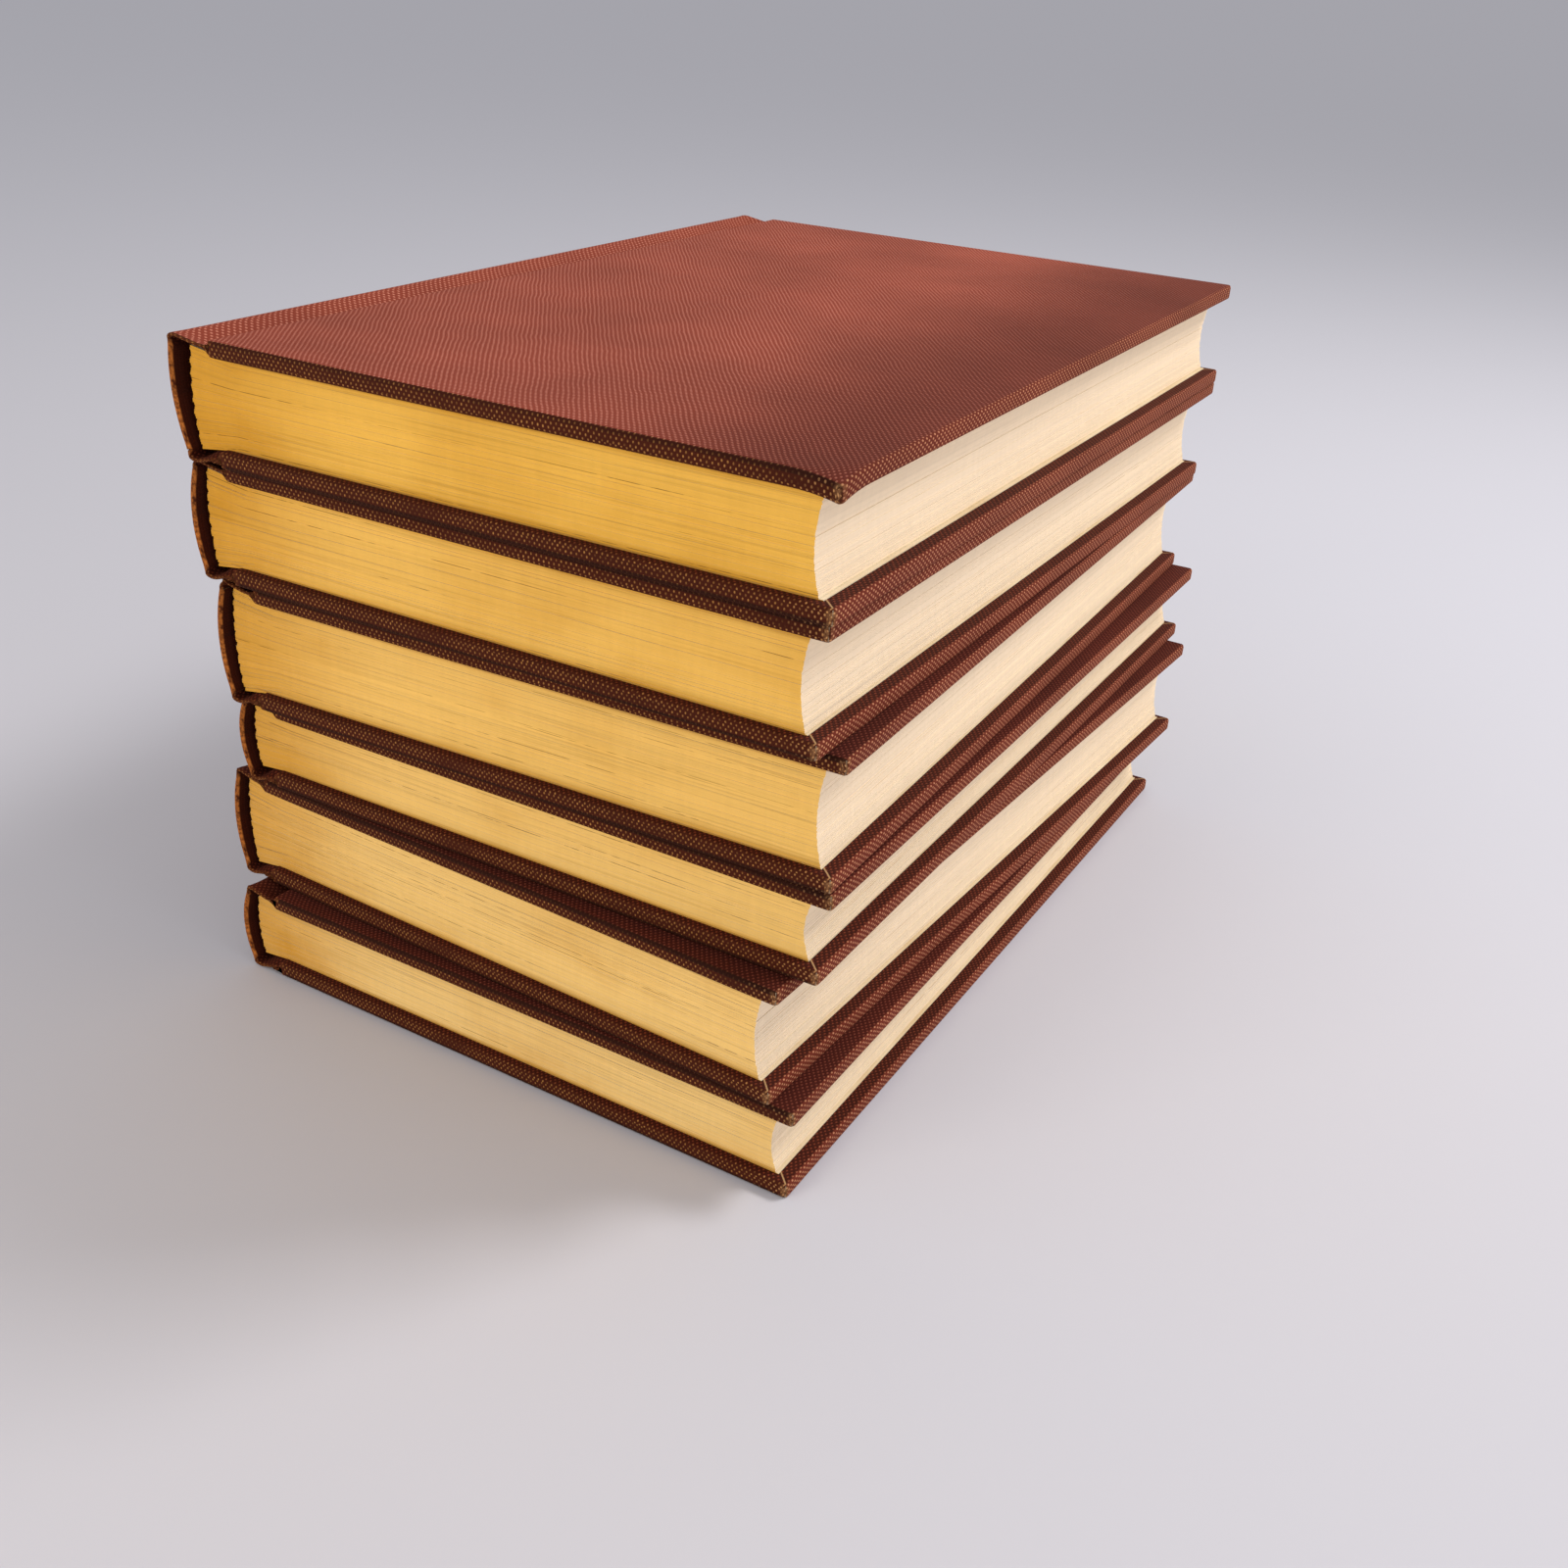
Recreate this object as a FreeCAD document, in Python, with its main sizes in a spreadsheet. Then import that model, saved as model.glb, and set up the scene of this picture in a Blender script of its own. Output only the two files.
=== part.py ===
# A stack of six cloth-bound books of one set, lying flat, spines to the same side.
#
# Frame: millimetres, +X from the spines to the fore-edges, +Y from head to tail, +Z up.
# The origin is the middle of the stack's footprint, on the surface that it lies on.
#
# Each book is drawn as one section across it, with X along the boards and Z up, and every piece
# is that section drawn out along Y to the piece's own length. Book 1 lies on top, book 6 at the
# bottom.

import FreeCAD
import Part

import math
import os

import Sketcher
from FreeCAD import Rotation, Vector

# Driving sizes that all six books share
COMMON_SIZES = {
    "board_width": 150.0,        # covered board, spine edge to fore-edge
    "board_length": 235.0,       # covered board, head to tail
    "board_thickness": 3.0,      # bare greyboard
    "cloth_thickness": 0.4,
    "cloth_round": 0.45,         # outer radius where the cloth turns over a board's edge
    "turn_in": 15.0,             # cloth turned over on to the inside of the boards
    "groove_radius": 1.7,        # the pressed groove beside the spine
    "groove_drop": 0.2,          # foot of the groove below the boards' inner level
    "shoulder_radius": 2.3,      # the ridge between groove and spine
    "joint_run": 5.6,            # foot of the groove to the ridge's crest
    "spine_rise": 4.5,           # roundness of the spine past the ridges
    "strip_thickness": 0.8,      # card strip inside the spine
    "head_square": 2.5,          # boards past the leaves at head and tail
    "fore_square": 4.5,          # boards past the leaves at the fore-edge
    "fore_hollow": 1.5,          # depth of the hollow fore-edge
    "back_rise": 1.5,            # roundness of the leaves' back past their shoulders
    "back_gap": 0.05,            # lined shoulders of the leaves to the strip's level
    "section_thickness": 1.7,    # one folded section of leaves at the fore-edge
    "section_crest": 0.1,        # the folds' crests below the lining
    "section_valley": 0.35,      # the creases between the folds below the lining
    "lining_thickness": 0.3,
    "lining_margin": 15.0,       # lining short of the leaves at head and tail
    "lining_wrap": 1.4,          # lining past the shoulder, down the joint
    "sheet_thickness": 0.18,     # one leaf of the endpapers
    "endpaper_gap": 0.04,        # air between the pasted leaf and the free leaf
    "endpaper_fold": 0.8,        # flank of the leaves to the fold of the endpapers
    "pasted_margin": 3.5,        # board past the pasted leaf at the fore-edge
    "hinge_gap": 0.2,            # parting of the top book's cloth at the foot of its grooves
    "cut_over": 0.1,             # how far a cut runs on into room that is free already
}

# Each book's own sizes, from the top one down: thickness over the covers, place of its middle
# across and along the stack, and how far its upper board slips past its lower
BOOK_SIZES = {
    "book_1_thick": 27.5, "book_1_across": 1.0, "book_1_along": -2.5, "book_1_slip": 0.0,
    "book_2_thick": 28.0, "book_2_across": -0.5, "book_2_along": -0.5, "book_2_slip": 1.0,
    "book_3_thick": 30.5, "book_3_across": -0.5, "book_3_along": 2.5, "book_3_slip": 1.5,
    "book_4_thick": 22.5, "book_4_across": 1.0, "book_4_along": 4.5, "book_4_slip": 2.0,
    "book_5_thick": 29.5, "book_5_across": -0.5, "book_5_along": 2.0, "book_5_slip": 0.5,
    "book_6_thick": 23.5, "book_6_across": 0.0, "book_6_along": 0.0, "book_6_slip": 0.5,
}

# How far each book is turned on the one below, in degrees
BOOK_TURNS_DEG = {
    "book_1_turn": 0.6,
    "book_2_turn": 0.4,
    "book_3_turn": 1.8,
    "book_4_turn": 0.4,
    "book_5_turn": -2.3,
    "book_6_turn": 0.0,
}

BOOK_COUNT = len(BOOK_TURNS_DEG)

FEWEST_SECTIONS = 3      # folded sections that a book has at the least
SHORTEST_SEGMENT = 1e-6  # a shorter stretch of an outline is left out

doc = FreeCAD.newDocument("BookStack")
sheet = doc.addObject("Spreadsheet::Sheet", "Sizes")


def write_size(row, name, value):
    """Put one named plain number into the sheet."""
    sheet.set("A%d" % row, name)
    sheet.set("B%d" % row, repr(value))
    sheet.setAlias("B%d" % row, name)


def fill_sheet():
    """Write every driving size into the sheet, the common ones first."""
    row = 1
    for group in (COMMON_SIZES, BOOK_SIZES, BOOK_TURNS_DEG):
        for name, value in group.items():
            write_size(row, name, value)
            row += 1
    doc.recompute()
    return row


next_row = fill_sheet()


def size(name):
    """Read one size back from the sheet."""
    return float(sheet.get(name))


def crest_reach():
    """How far the ridges' crests stand from the boards' spine edge."""
    return size("groove_radius") + size("joint_run")


# Points and segments of a section. A point is (x, z). A segment is a tuple of two points for a
# line, or of three for an arc through its middle point.


def unit(dx, dz):
    """The direction (dx, dz) at length one."""
    length = math.hypot(dx, dz)
    return dx / length, dz / length


def along(point, direction, distance):
    """The point at a distance from another in a direction."""
    return point[0] + direction[0] * distance, point[1] + direction[1] * distance


def arc(centre, radius, start, end):
    """An arc about a centre, from one angle to another, in radians."""
    middle = 0.5 * (start + end)
    return tuple(
        (centre[0] + radius * math.cos(angle), centre[1] + radius * math.sin(angle))
        for angle in (start, middle, end)
    )


def lines(*points):
    """Straight segments through the points in order."""
    return [(first, second) for first, second in zip(points, points[1:])]


def backwards(segments):
    """The same segments walked the other way."""
    return [tuple(reversed(segment)) for segment in reversed(segments)]


def mirrored(segments, height):
    """The segments turned upside down about half the height."""
    return [tuple((x, height - z) for x, z in segment) for segment in segments]


class Joint:
    """The joint between one board and the spine, drawn for the lower board.

    The cloth goes up the board's edge, round the foot of the pressed groove and out over the
    shoulder, and passes on to the spine. depth is how far a layer lies inside the cloth's outer
    surface, so that every layer of the joint is drawn by the same arcs.
    """

    def __init__(self, board_shift, spine_centre, groove_depth):
        half = size("board_width") / 2
        self.board_edge = -half + board_shift
        self.groove_radius = size("groove_radius")
        self.shoulder_radius = size("shoulder_radius")
        self.groove = (self.board_edge - self.groove_radius, groove_depth - self.groove_radius)
        self.shoulder = (-half - crest_reach(), self.shoulder_radius)
        # The flank is the line that touches the groove's circle and the shoulder's circle
        across = (self.shoulder[0] - self.groove[0], self.shoulder[1] - self.groove[1])
        lean = math.acos((self.groove_radius + self.shoulder_radius) / math.hypot(*across))
        self.flank_angle = math.atan2(across[1], across[0]) - lean
        self.normal = (math.cos(self.flank_angle), math.sin(self.flank_angle))
        self.outward = unit(
            self.shoulder[0] - spine_centre[0], self.shoulder[1] - spine_centre[1]
        )
        self.outward_angle = math.atan2(self.outward[1], self.outward[0]) + 2 * math.pi

    def groove_arc(self, depth, start):
        """Round the foot of the groove, from an angle to the flank."""
        return [arc(self.groove, self.groove_radius + depth, start, self.flank_angle)]

    def cut_angle(self, depth, offset):
        """The angle at which a groove layer stands at an offset in X from the groove's foot."""
        return math.acos(offset / (self.groove_radius + depth))

    def flank(self, depth):
        """Down the flank, from the groove to the shoulder."""
        start = along(self.groove, self.normal, self.groove_radius + depth)
        end = along(self.shoulder, self.normal, depth - self.shoulder_radius)
        return [(start, end)]

    def shoulder_arc(self, radius):
        """Round the shoulder, from the flank to where the spine's round begins."""
        start = self.flank_angle + math.pi
        return [arc(self.shoulder, radius, start, self.outward_angle)]

    def spine_start(self, radius):
        """Where a layer of this radius at the shoulder passes on to the spine's round."""
        return along(self.shoulder, self.outward, radius)

    def path(self, depth, start):
        """A whole layer from the groove to the spine."""
        shoulder = self.shoulder_arc(self.shoulder_radius - depth)
        return self.groove_arc(depth, start) + self.flank(depth) + shoulder


class Section:
    """All outlines of one book's section, from its underside at z = 0 to its top."""

    def __init__(self, number):
        self.number = number
        self.prefix = "book_%d_" % number
        self.height = size(self.prefix + "thick")
        self.slip = size(self.prefix + "slip")
        self.half = size("board_width") / 2
        self.cloth = size("cloth_thickness")
        self.board = size("board_thickness")
        self.cover = self.board + 2 * self.cloth
        self.strip = size("strip_thickness")
        self.page_level = self.cover + 2 * size("sheet_thickness") + size("endpaper_gap")
        self.page_fore = self.half - size("fore_square")
        self.lower_shift = -self.slip / 2
        self.upper_shift = self.slip / 2
        shoulder = size("shoulder_radius")
        self.spine_radius = self.round_radius(size("spine_rise"), shoulder)
        self.spine_centre = self.round_centre(size("spine_rise"), self.spine_radius)
        foot = self.board - size("groove_drop")
        self.lower_joint = Joint(self.lower_shift, self.spine_centre, foot)
        self.upper_joint = Joint(self.upper_shift, self.spine_centre, foot)
        self.lining = size("lining_thickness")
        self.tip = shoulder - 2 * self.cloth - self.strip - self.lining - size("back_gap")
        self.back_radius = self.round_radius(size("back_rise"), self.tip)
        self.back_centre = self.round_centre(size("back_rise"), self.back_radius)
        self.lower_back = Joint(self.lower_shift, self.back_centre, foot)
        self.upper_back = Joint(self.upper_shift, self.back_centre, foot)

    def round_radius(self, rise, end_radius):
        """Radius of a round that blends with its end circles and stands out by the rise."""
        reach = self.height / 2 - size("shoulder_radius")
        return (rise**2 + reach**2 - end_radius**2) / (2 * (rise - end_radius))

    def round_centre(self, rise, radius):
        """Centre of that round."""
        return -self.half - crest_reach() - rise + radius, self.height / 2

    def round_arc(self, centre, radius, joint, inset=0.0):
        """A round from its lower end to its upper end, or short of both by an angle."""
        start = joint.outward_angle - inset
        return [arc(centre, radius, start, 2 * math.pi - start)]

    def board_outline(self, shift):
        """The bare greyboard of the lower cover."""
        left = -self.half + shift + self.cloth
        right = self.half + shift - self.cloth
        return lines(
            (left, self.cloth),
            (right, self.cloth),
            (right, self.cloth + self.board),
            (left, self.cloth + self.board),
            (left, self.cloth),
        )

    def strip_outline(self):
        """The card strip of the spine, which the cloth closes round."""
        joint = self.lower_joint
        outside = self.spine_radius - self.cloth
        inset = self.cloth / outside
        outer = self.round_arc(self.spine_centre, outside, joint, inset)
        inner = self.round_arc(self.spine_centre, outside - self.strip, joint, inset)
        caps = lines(outer[-1][-1], inner[-1][-1]), lines(inner[0][0], outer[0][0])
        return join(outer, caps[0], backwards(inner), caps[1])

    def fore_edge(self, shift):
        """The cloth round the fore-edge of the lower board, from outside to inside."""
        turn = size("cloth_round")
        right = self.half + shift
        quarter = math.pi / 2
        low = arc((right - turn, turn), turn, -quarter, 0.0)
        high = arc((right - turn, self.cover - turn), turn, 0.0, quarter)
        return [low, (low[-1], high[0]), high]

    def board_underside(self, joint, shift):
        """The cloth's outer surface from the groove, under the lower board, to its fore-edge."""
        turn = size("cloth_round")
        edge = joint.board_edge
        corner = arc((edge + turn, turn), turn, math.pi, 1.5 * math.pi)
        return lines((edge, joint.groove[1]), corner[0]) + [
            corner,
            (corner[-1], (self.half + shift - turn, 0.0)),
        ]

    def groove_slope(self, joint, shift, level, over=0.0):
        """A layer of the lower cover from its board's spine edge down to the groove's foot.

        level is the layer's height over the board, and over how far it runs above itself.
        """
        edge = -self.half + shift + self.cloth
        foot = joint.groove[0], level - size("groove_drop") + over
        return [((edge, level + over), foot)]

    def inside_line(self, joint, shift):
        """The inside of the lower cover, from the fore-edge to the foot of the groove."""
        slope = self.groove_slope(joint, shift, self.cover)
        fore = self.half + shift - size("cloth_round")
        return [((fore, self.cover), slope[0][0])] + slope

    def spine_inside(self, depth):
        """A layer inside the spine, from the lower shoulder, in past the strip and out again."""
        joint = self.lower_joint
        radius = size("shoulder_radius") - depth
        step = [(joint.spine_start(radius), joint.spine_start(radius - self.strip))]
        inner = self.round_arc(
            self.spine_centre, self.spine_radius - depth - self.strip, joint
        )
        return join(step, inner, backwards(mirrored(step, self.height)))

    def strip_inside(self):
        """The way along the inside of the outer cloth, in past the strip's room and out again."""
        joint = self.lower_joint
        over = size("cut_over")
        outside = self.spine_radius - self.cloth
        inset = self.cloth / outside
        start = joint.outward_angle
        lead = arc(self.spine_centre, outside, start, start - inset)
        middle = self.round_arc(
            self.spine_centre, outside - self.strip + over, joint, inset + over / outside
        )
        ends = [lead, (lead[-1], middle[0][0])]
        return join(ends, middle, backwards(mirrored(ends, self.height)))

    def case_outline(self):
        """The cloth of both covers and the spine in one, with the boards' room still filled."""
        height = self.height
        inner = 2 * self.cloth
        foot = math.pi / 2
        low, high = self.lower_joint, self.upper_joint
        low_shift, high_shift = self.lower_shift, self.upper_shift
        lower_inside = self.inside_line(low, low_shift) + low.path(inner, foot)
        upper_inside = self.inside_line(high, high_shift) + high.path(inner, foot)
        spine = self.round_arc(self.spine_centre, self.spine_radius, low)
        return join(
            backwards(self.board_underside(low, low_shift)),
            low.path(0.0, 0.0),
            spine,
            backwards(mirrored(high.path(0.0, 0.0), height)),
            mirrored(self.board_underside(high, high_shift), height),
            mirrored(self.fore_edge(high_shift), height),
            mirrored(upper_inside, height),
            backwards(self.spine_inside(inner)),
            backwards(lower_inside),
            backwards(self.fore_edge(low_shift)),
        )

    def turn_in_band(self, joint, shift):
        """The layer inside the lower cover that the turned-in cloth leaves free.

        It runs from the groove's foot over the board, round the turn-in's edge at the fore-edge
        side, and back to the groove's foot.
        """
        over = size("cut_over")
        level = self.cover - self.cloth
        low = self.groove_slope(joint, shift, level)
        high = self.groove_slope(joint, shift, self.cover, over)
        start = self.half + shift - size("turn_in")
        inside_board = level - over
        over_board = lines(
            low[0][0],
            (low[0][0][0] + over, inside_board),
            (start, inside_board),
            (start, self.cover + over),
            high[0][0],
        )
        return backwards(low) + over_board + high

    def case_window(self):
        """The room between the turn-ins, all the way round the inside of the case."""
        height = self.height
        inner = 2 * self.cloth + size("cut_over")
        foot = math.pi / 2
        low, high = self.lower_joint, self.upper_joint
        return join(
            self.turn_in_band(low, self.lower_shift),
            low.path(inner, foot),
            self.spine_inside(inner),
            backwards(mirrored(high.path(inner, foot), height)),
            backwards(mirrored(self.turn_in_band(high, self.upper_shift), height)),
            mirrored(high.path(self.cloth, foot), height),
            backwards(self.strip_inside()),
            backwards(low.path(self.cloth, foot)),
        )

    def cover_outline(self, joint, shift):
        """The cloth of one lower cover alone, parted at the foot of its groove."""
        offset = size("hinge_gap") / 2
        cut = joint.cut_angle(0.0, offset)
        groove = [arc(joint.groove, joint.groove_radius, 0.0, cut)]
        line, slope = self.inside_line(joint, shift)
        share = offset / (slope[0][0] - slope[1][0])
        end = slope[1][0] + offset, slope[1][1] + share * (slope[0][1] - slope[1][1])
        return join(
            backwards(self.board_underside(joint, shift)),
            groove,
            [(groove[0][-1], end), (end, slope[0])],
            [(slope[0], line[0])],
            backwards(self.fore_edge(shift)),
        )

    def cover_window(self, joint, shift):
        """The room between the turn-ins of one lower cover alone."""
        band = self.turn_in_band(joint, shift)
        return join(band, [(band[-1][-1], band[0][0])])

    def spine_outline(self):
        """The cloth of the spine alone, from the foot of one groove to the foot of the other."""
        height = self.height
        inner = 2 * self.cloth
        offset = -size("hinge_gap") / 2
        low, high = self.lower_joint, self.upper_joint
        lower_outer = low.path(0.0, low.cut_angle(0.0, offset))
        lower_inner = low.path(inner, low.cut_angle(inner, offset))
        upper_outer = mirrored(high.path(0.0, high.cut_angle(0.0, offset)), height)
        upper_inner = mirrored(high.path(inner, high.cut_angle(inner, offset)), height)
        return join(
            lower_outer,
            self.round_arc(self.spine_centre, self.spine_radius, low),
            backwards(upper_outer),
            [(upper_outer[0][0], upper_inner[0][0])],
            upper_inner,
            backwards(self.spine_inside(inner)),
            backwards(lower_inner),
            [(lower_inner[0][0], lower_outer[0][0])],
        )

    def spine_window(self):
        """The room between the turn-ins of the spine's cloth alone."""
        height = self.height
        inner = 2 * self.cloth + size("cut_over")
        foot = math.pi / 2
        low, high = self.lower_joint, self.upper_joint
        lower_mid, lower_in = low.path(self.cloth, foot), low.path(inner, foot)
        upper_mid = mirrored(high.path(self.cloth, foot), height)
        upper_in = mirrored(high.path(inner, foot), height)
        return join(
            lower_in,
            self.spine_inside(inner),
            backwards(upper_in),
            [(upper_in[0][0], upper_mid[0][0])],
            upper_mid,
            backwards(self.strip_inside()),
            backwards(lower_mid),
            [(lower_mid[0][0], lower_in[0][0])],
        )

    def flank_foot(self, joint):
        """Where the leaves' joint flank rises to the level of their first leaf."""
        start = along(joint.shoulder, joint.normal, -self.tip)
        rise = self.page_level - start[1]
        slope = (joint.normal[1], -joint.normal[0])
        return start[0] + slope[0] / slope[1] * rise, self.page_level

    def folds(self):
        """The back of the leaves: one crest for each folded section, with a crease between."""
        joint = self.lower_back
        leaves = self.height - 2 * self.page_level
        count = max(FEWEST_SECTIONS, round(leaves / size("section_thickness")))
        start = joint.outward_angle
        step = (2 * math.pi - 2 * start) / count
        crest = self.back_radius - size("section_crest")
        crease = self.back_radius - size("section_valley")

        def at(radius, angle):
            centre = self.back_centre
            return centre[0] + radius * math.cos(angle), centre[1] + radius * math.sin(angle)

        segments = []
        for index in range(count):
            first = start + index * step
            first_radius = self.back_radius if index == 0 else crease
            last_radius = self.back_radius if index == count - 1 else crease
            segments.append(
                (at(first_radius, first), at(crest, first + step / 2), at(last_radius, first + step))
            )
        return segments

    def leaves_outline(self):
        """The sewn leaves: flat sides, hollow fore-edge, flared shoulders and folded back."""
        middle = self.page_fore - size("fore_hollow"), self.height / 2
        low_foot = self.flank_foot(self.lower_back)
        high_foot = mirrored([(self.flank_foot(self.upper_back),) * 2], self.height)[0][0]
        low_tip = self.lower_back.shoulder_arc(self.tip)
        high_tip = mirrored(self.upper_back.shoulder_arc(self.tip), self.height)
        low_fore = (self.page_fore, self.page_level)
        high_fore = (self.page_fore, self.height - self.page_level)
        return join(
            [(low_fore, low_foot), (low_foot, low_tip[0][0])],
            low_tip,
            self.folds(),
            backwards(high_tip),
            [(high_tip[0][0], high_foot), (high_foot, high_fore)],
            [(high_fore, middle, low_fore)],
        )

    def lining_outline(self):
        """The open cloth glued over the back of the leaves and round their shoulders."""
        wrap = size("lining_wrap")

        def half_path(joint, radius):
            foot = along(joint.shoulder, joint.normal, -radius)
            slope = (joint.normal[1], -joint.normal[0])
            return [(along(foot, slope, wrap), foot)] + joint.shoulder_arc(radius)

        def layer(radius, round_radius):
            low = half_path(self.lower_back, radius)
            high = mirrored(half_path(self.upper_back, radius), self.height)
            middle = self.round_arc(self.back_centre, round_radius, self.lower_back)
            return join(low, middle, backwards(high))

        inner = layer(self.tip, self.back_radius)
        outer = layer(self.tip + self.lining, self.back_radius + self.lining)
        caps = [(outer[-1][-1], inner[-1][-1])], [(inner[0][0], outer[0][0])]
        return join(outer, caps[0], backwards(inner), caps[1])

    def fold_line(self, back):
        """Where the endpapers fold, beside the flank of the leaves."""
        return self.flank_foot(back)[0] + size("endpaper_fold")

    def endpaper_outline(self, back, shift):
        """The lower endpapers: a pasted leaf and a free leaf, joined at their fold."""
        sheet_size = size("sheet_thickness")
        fold = self.fold_line(back)
        pasted = self.half + shift - size("pasted_margin")
        low, high = self.cover, self.page_level
        return lines(
            (pasted, low),
            (fold, low),
            (fold, high),
            (self.page_fore, high),
            (self.page_fore, high - sheet_size),
            (fold + sheet_size, high - sheet_size),
            (fold + sheet_size, low + sheet_size),
            (pasted, low + sheet_size),
            (pasted, low),
        )

    def pasted_outline(self, joint, shift):
        """The pasted leaf of one lower cover alone."""
        stop = joint.groove[0] + size("hinge_gap") / 2
        pasted = self.half + shift - size("pasted_margin")
        low, high = self.cover, self.cover + size("sheet_thickness")
        return lines((pasted, low), (stop, low), (stop, high), (pasted, high), (pasted, low))

    def free_leaf_outline(self, back):
        """The free leaf of the lower endpapers alone."""
        fold = self.fold_line(back)
        low, high = self.page_level - size("sheet_thickness"), self.page_level
        return lines(
            (self.page_fore, low), (fold, low), (fold, high), (self.page_fore, high),
            (self.page_fore, low),
        )


def join(*groups):
    """One list of segments from several, leaving out those of no length."""
    segments = [segment for group in groups for segment in group]
    return [s for s in segments if math.dist(s[0], s[-1]) > SHORTEST_SEGMENT]


def add_outline(sketch, outlines):
    """Draw closed outlines in a sketch and tie the ends of neighbouring segments together."""
    for segments in outlines:
        first = sketch.GeometryCount
        geometry = []
        for segment in segments:
            points = [Vector(x, z, 0.0) for x, z in segment]
            geometry.append(Part.LineSegment(*points) if len(points) == 2 else Part.Arc(*points))
        sketch.addGeometry(geometry, False)
        ties = []
        for index, segment in enumerate(segments):
            following = (index + 1) % len(segments)
            meeting = Vector(segment[-1][0], segment[-1][1], 0.0)
            ties.append(
                Sketcher.Constraint(
                    "Coincident",
                    first + index, end_at(sketch, first + index, meeting),
                    first + following, end_at(sketch, first + following, meeting),
                )
            )
        sketch.addConstraint(ties)


def end_at(sketch, index, place):
    """Which end of a sketch's segment, 1 or 2, lies at the place."""
    return min((1, 2), key=lambda end: (sketch.getPoint(index, end) - place).Length)


def bind_width(sketch, formula):
    """Tie the outline's greatest width to the sheet."""
    ends = [
        (sketch.getPoint(index, end).x, index, end)
        for index in range(sketch.GeometryCount)
        for end in (1, 2)
    ]
    low, high = min(ends), max(ends)
    place = sketch.addConstraint(
        Sketcher.Constraint("DistanceX", low[1], low[2], high[1], high[2], high[0] - low[0])
    )
    sketch.setExpression("Constraints[%d]" % place, formula)


def new_sketch(body, name, outlines):
    """A sketch on the body's own plane across the book."""
    sketch = body.newObject("Sketcher::SketchObject", body.Label + "_" + name)
    plane = next(item for item in body.Origin.OriginFeatures if item.Role == "XZ_Plane")
    sketch.AttachmentSupport = [(plane, "")]
    sketch.MapMode = "FlatFace"
    add_outline(sketch, outlines)
    return sketch


def new_pad(body, name, outlines, length):
    """Draw an outline out along the book to both sides of its middle."""
    sketch = new_sketch(body, name + "_outline", outlines)
    pad = body.newObject("PartDesign::Pad", body.Label + "_" + name)
    pad.Profile = sketch
    pad.SideType = "Symmetric"
    pad.setExpression("Length", length)
    sketch.Visibility = False
    return sketch


def new_pocket(body, name, outlines, length):
    """Cut an outline along the book to both sides of its middle."""
    sketch = new_sketch(body, name + "_outline", outlines)
    pocket = body.newObject("PartDesign::Pocket", body.Label + "_" + name)
    pocket.Profile = sketch
    pocket.SideType = "Symmetric"
    pocket.setExpression("Length", length)
    sketch.Visibility = False


def new_body(section, name):
    """An empty body that stands at its book's place in the stack."""
    label = section.prefix + name
    body = doc.addObject("PartDesign::Body", label)
    body.Label = label
    prefix = "Sizes." + section.prefix
    body.Placement.Rotation = Rotation(Vector(0, 0, 1), size(section.prefix + "turn"))
    body.setExpression("Placement.Base.x", prefix + "across - Sizes.middle_across")
    body.setExpression("Placement.Base.y", prefix + "along - Sizes.middle_along")
    below = range(section.number + 1, BOOK_COUNT + 1)
    rest = " + ".join("Sizes.book_%d_thick" % number for number in below) or "0"
    body.setExpression("Placement.Base.z", rest)
    body.setExpression("Placement.Rotation.Angle", prefix + "turn * 1 deg")
    return body


LEAVES_LENGTH = "Sizes.board_length - 2 * Sizes.head_square"
BARE_LENGTH = "Sizes.board_length - 2 * Sizes.cloth_thickness"
WINDOW_LENGTH = "Sizes.board_length - 2 * Sizes.turn_in"
LINING_LENGTH = LEAVES_LENGTH + " - 2 * Sizes.lining_margin"


def make_boards(section):
    """The two greyboards."""
    bare_width = "Sizes.board_width - 2 * Sizes.cloth_thickness"
    lower = new_body(section, "lower_board")
    outline = section.board_outline(section.lower_shift)
    bind_width(new_pad(lower, "board", [outline], BARE_LENGTH), bare_width)
    upper = new_body(section, "upper_board")
    outline = mirrored(section.board_outline(section.upper_shift), section.height)
    bind_width(new_pad(upper, "board", [outline], BARE_LENGTH), bare_width)


def make_spine_strip(section):
    """The card strip that keeps the spine round."""
    new_pad(new_body(section, "spine_strip"), "strip", [section.strip_outline()], BARE_LENGTH)


def make_leaves(section):
    """The sewn block of leaves and the lining on its back."""
    new_pad(new_body(section, "text_block"), "leaves", [section.leaves_outline()], LEAVES_LENGTH)
    lining = new_body(section, "spine_lining")
    new_pad(lining, "lining", [section.lining_outline()], LINING_LENGTH)


def make_case_cloth(section):
    """The one piece of cloth that covers both boards and the spine, turned in all round."""
    body = new_body(section, "cover_cloth")
    new_pad(body, "case", [section.case_outline()], "Sizes.board_length")
    room = [
        section.board_outline(section.lower_shift),
        mirrored(section.board_outline(section.upper_shift), section.height),
        section.strip_outline(),
    ]
    new_pocket(body, "window", [section.case_window()], WINDOW_LENGTH)
    new_pocket(body, "board_room", room, BARE_LENGTH)


def make_endpapers(section):
    """The folded endpapers inside each cover."""
    lower = new_body(section, "lower_endpaper")
    outline = section.endpaper_outline(section.lower_back, section.lower_shift)
    new_pad(lower, "paper", [outline], LEAVES_LENGTH)
    upper = new_body(section, "upper_endpaper")
    outline = section.endpaper_outline(section.upper_back, section.upper_shift)
    new_pad(upper, "paper", [mirrored(outline, section.height)], LEAVES_LENGTH)


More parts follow.
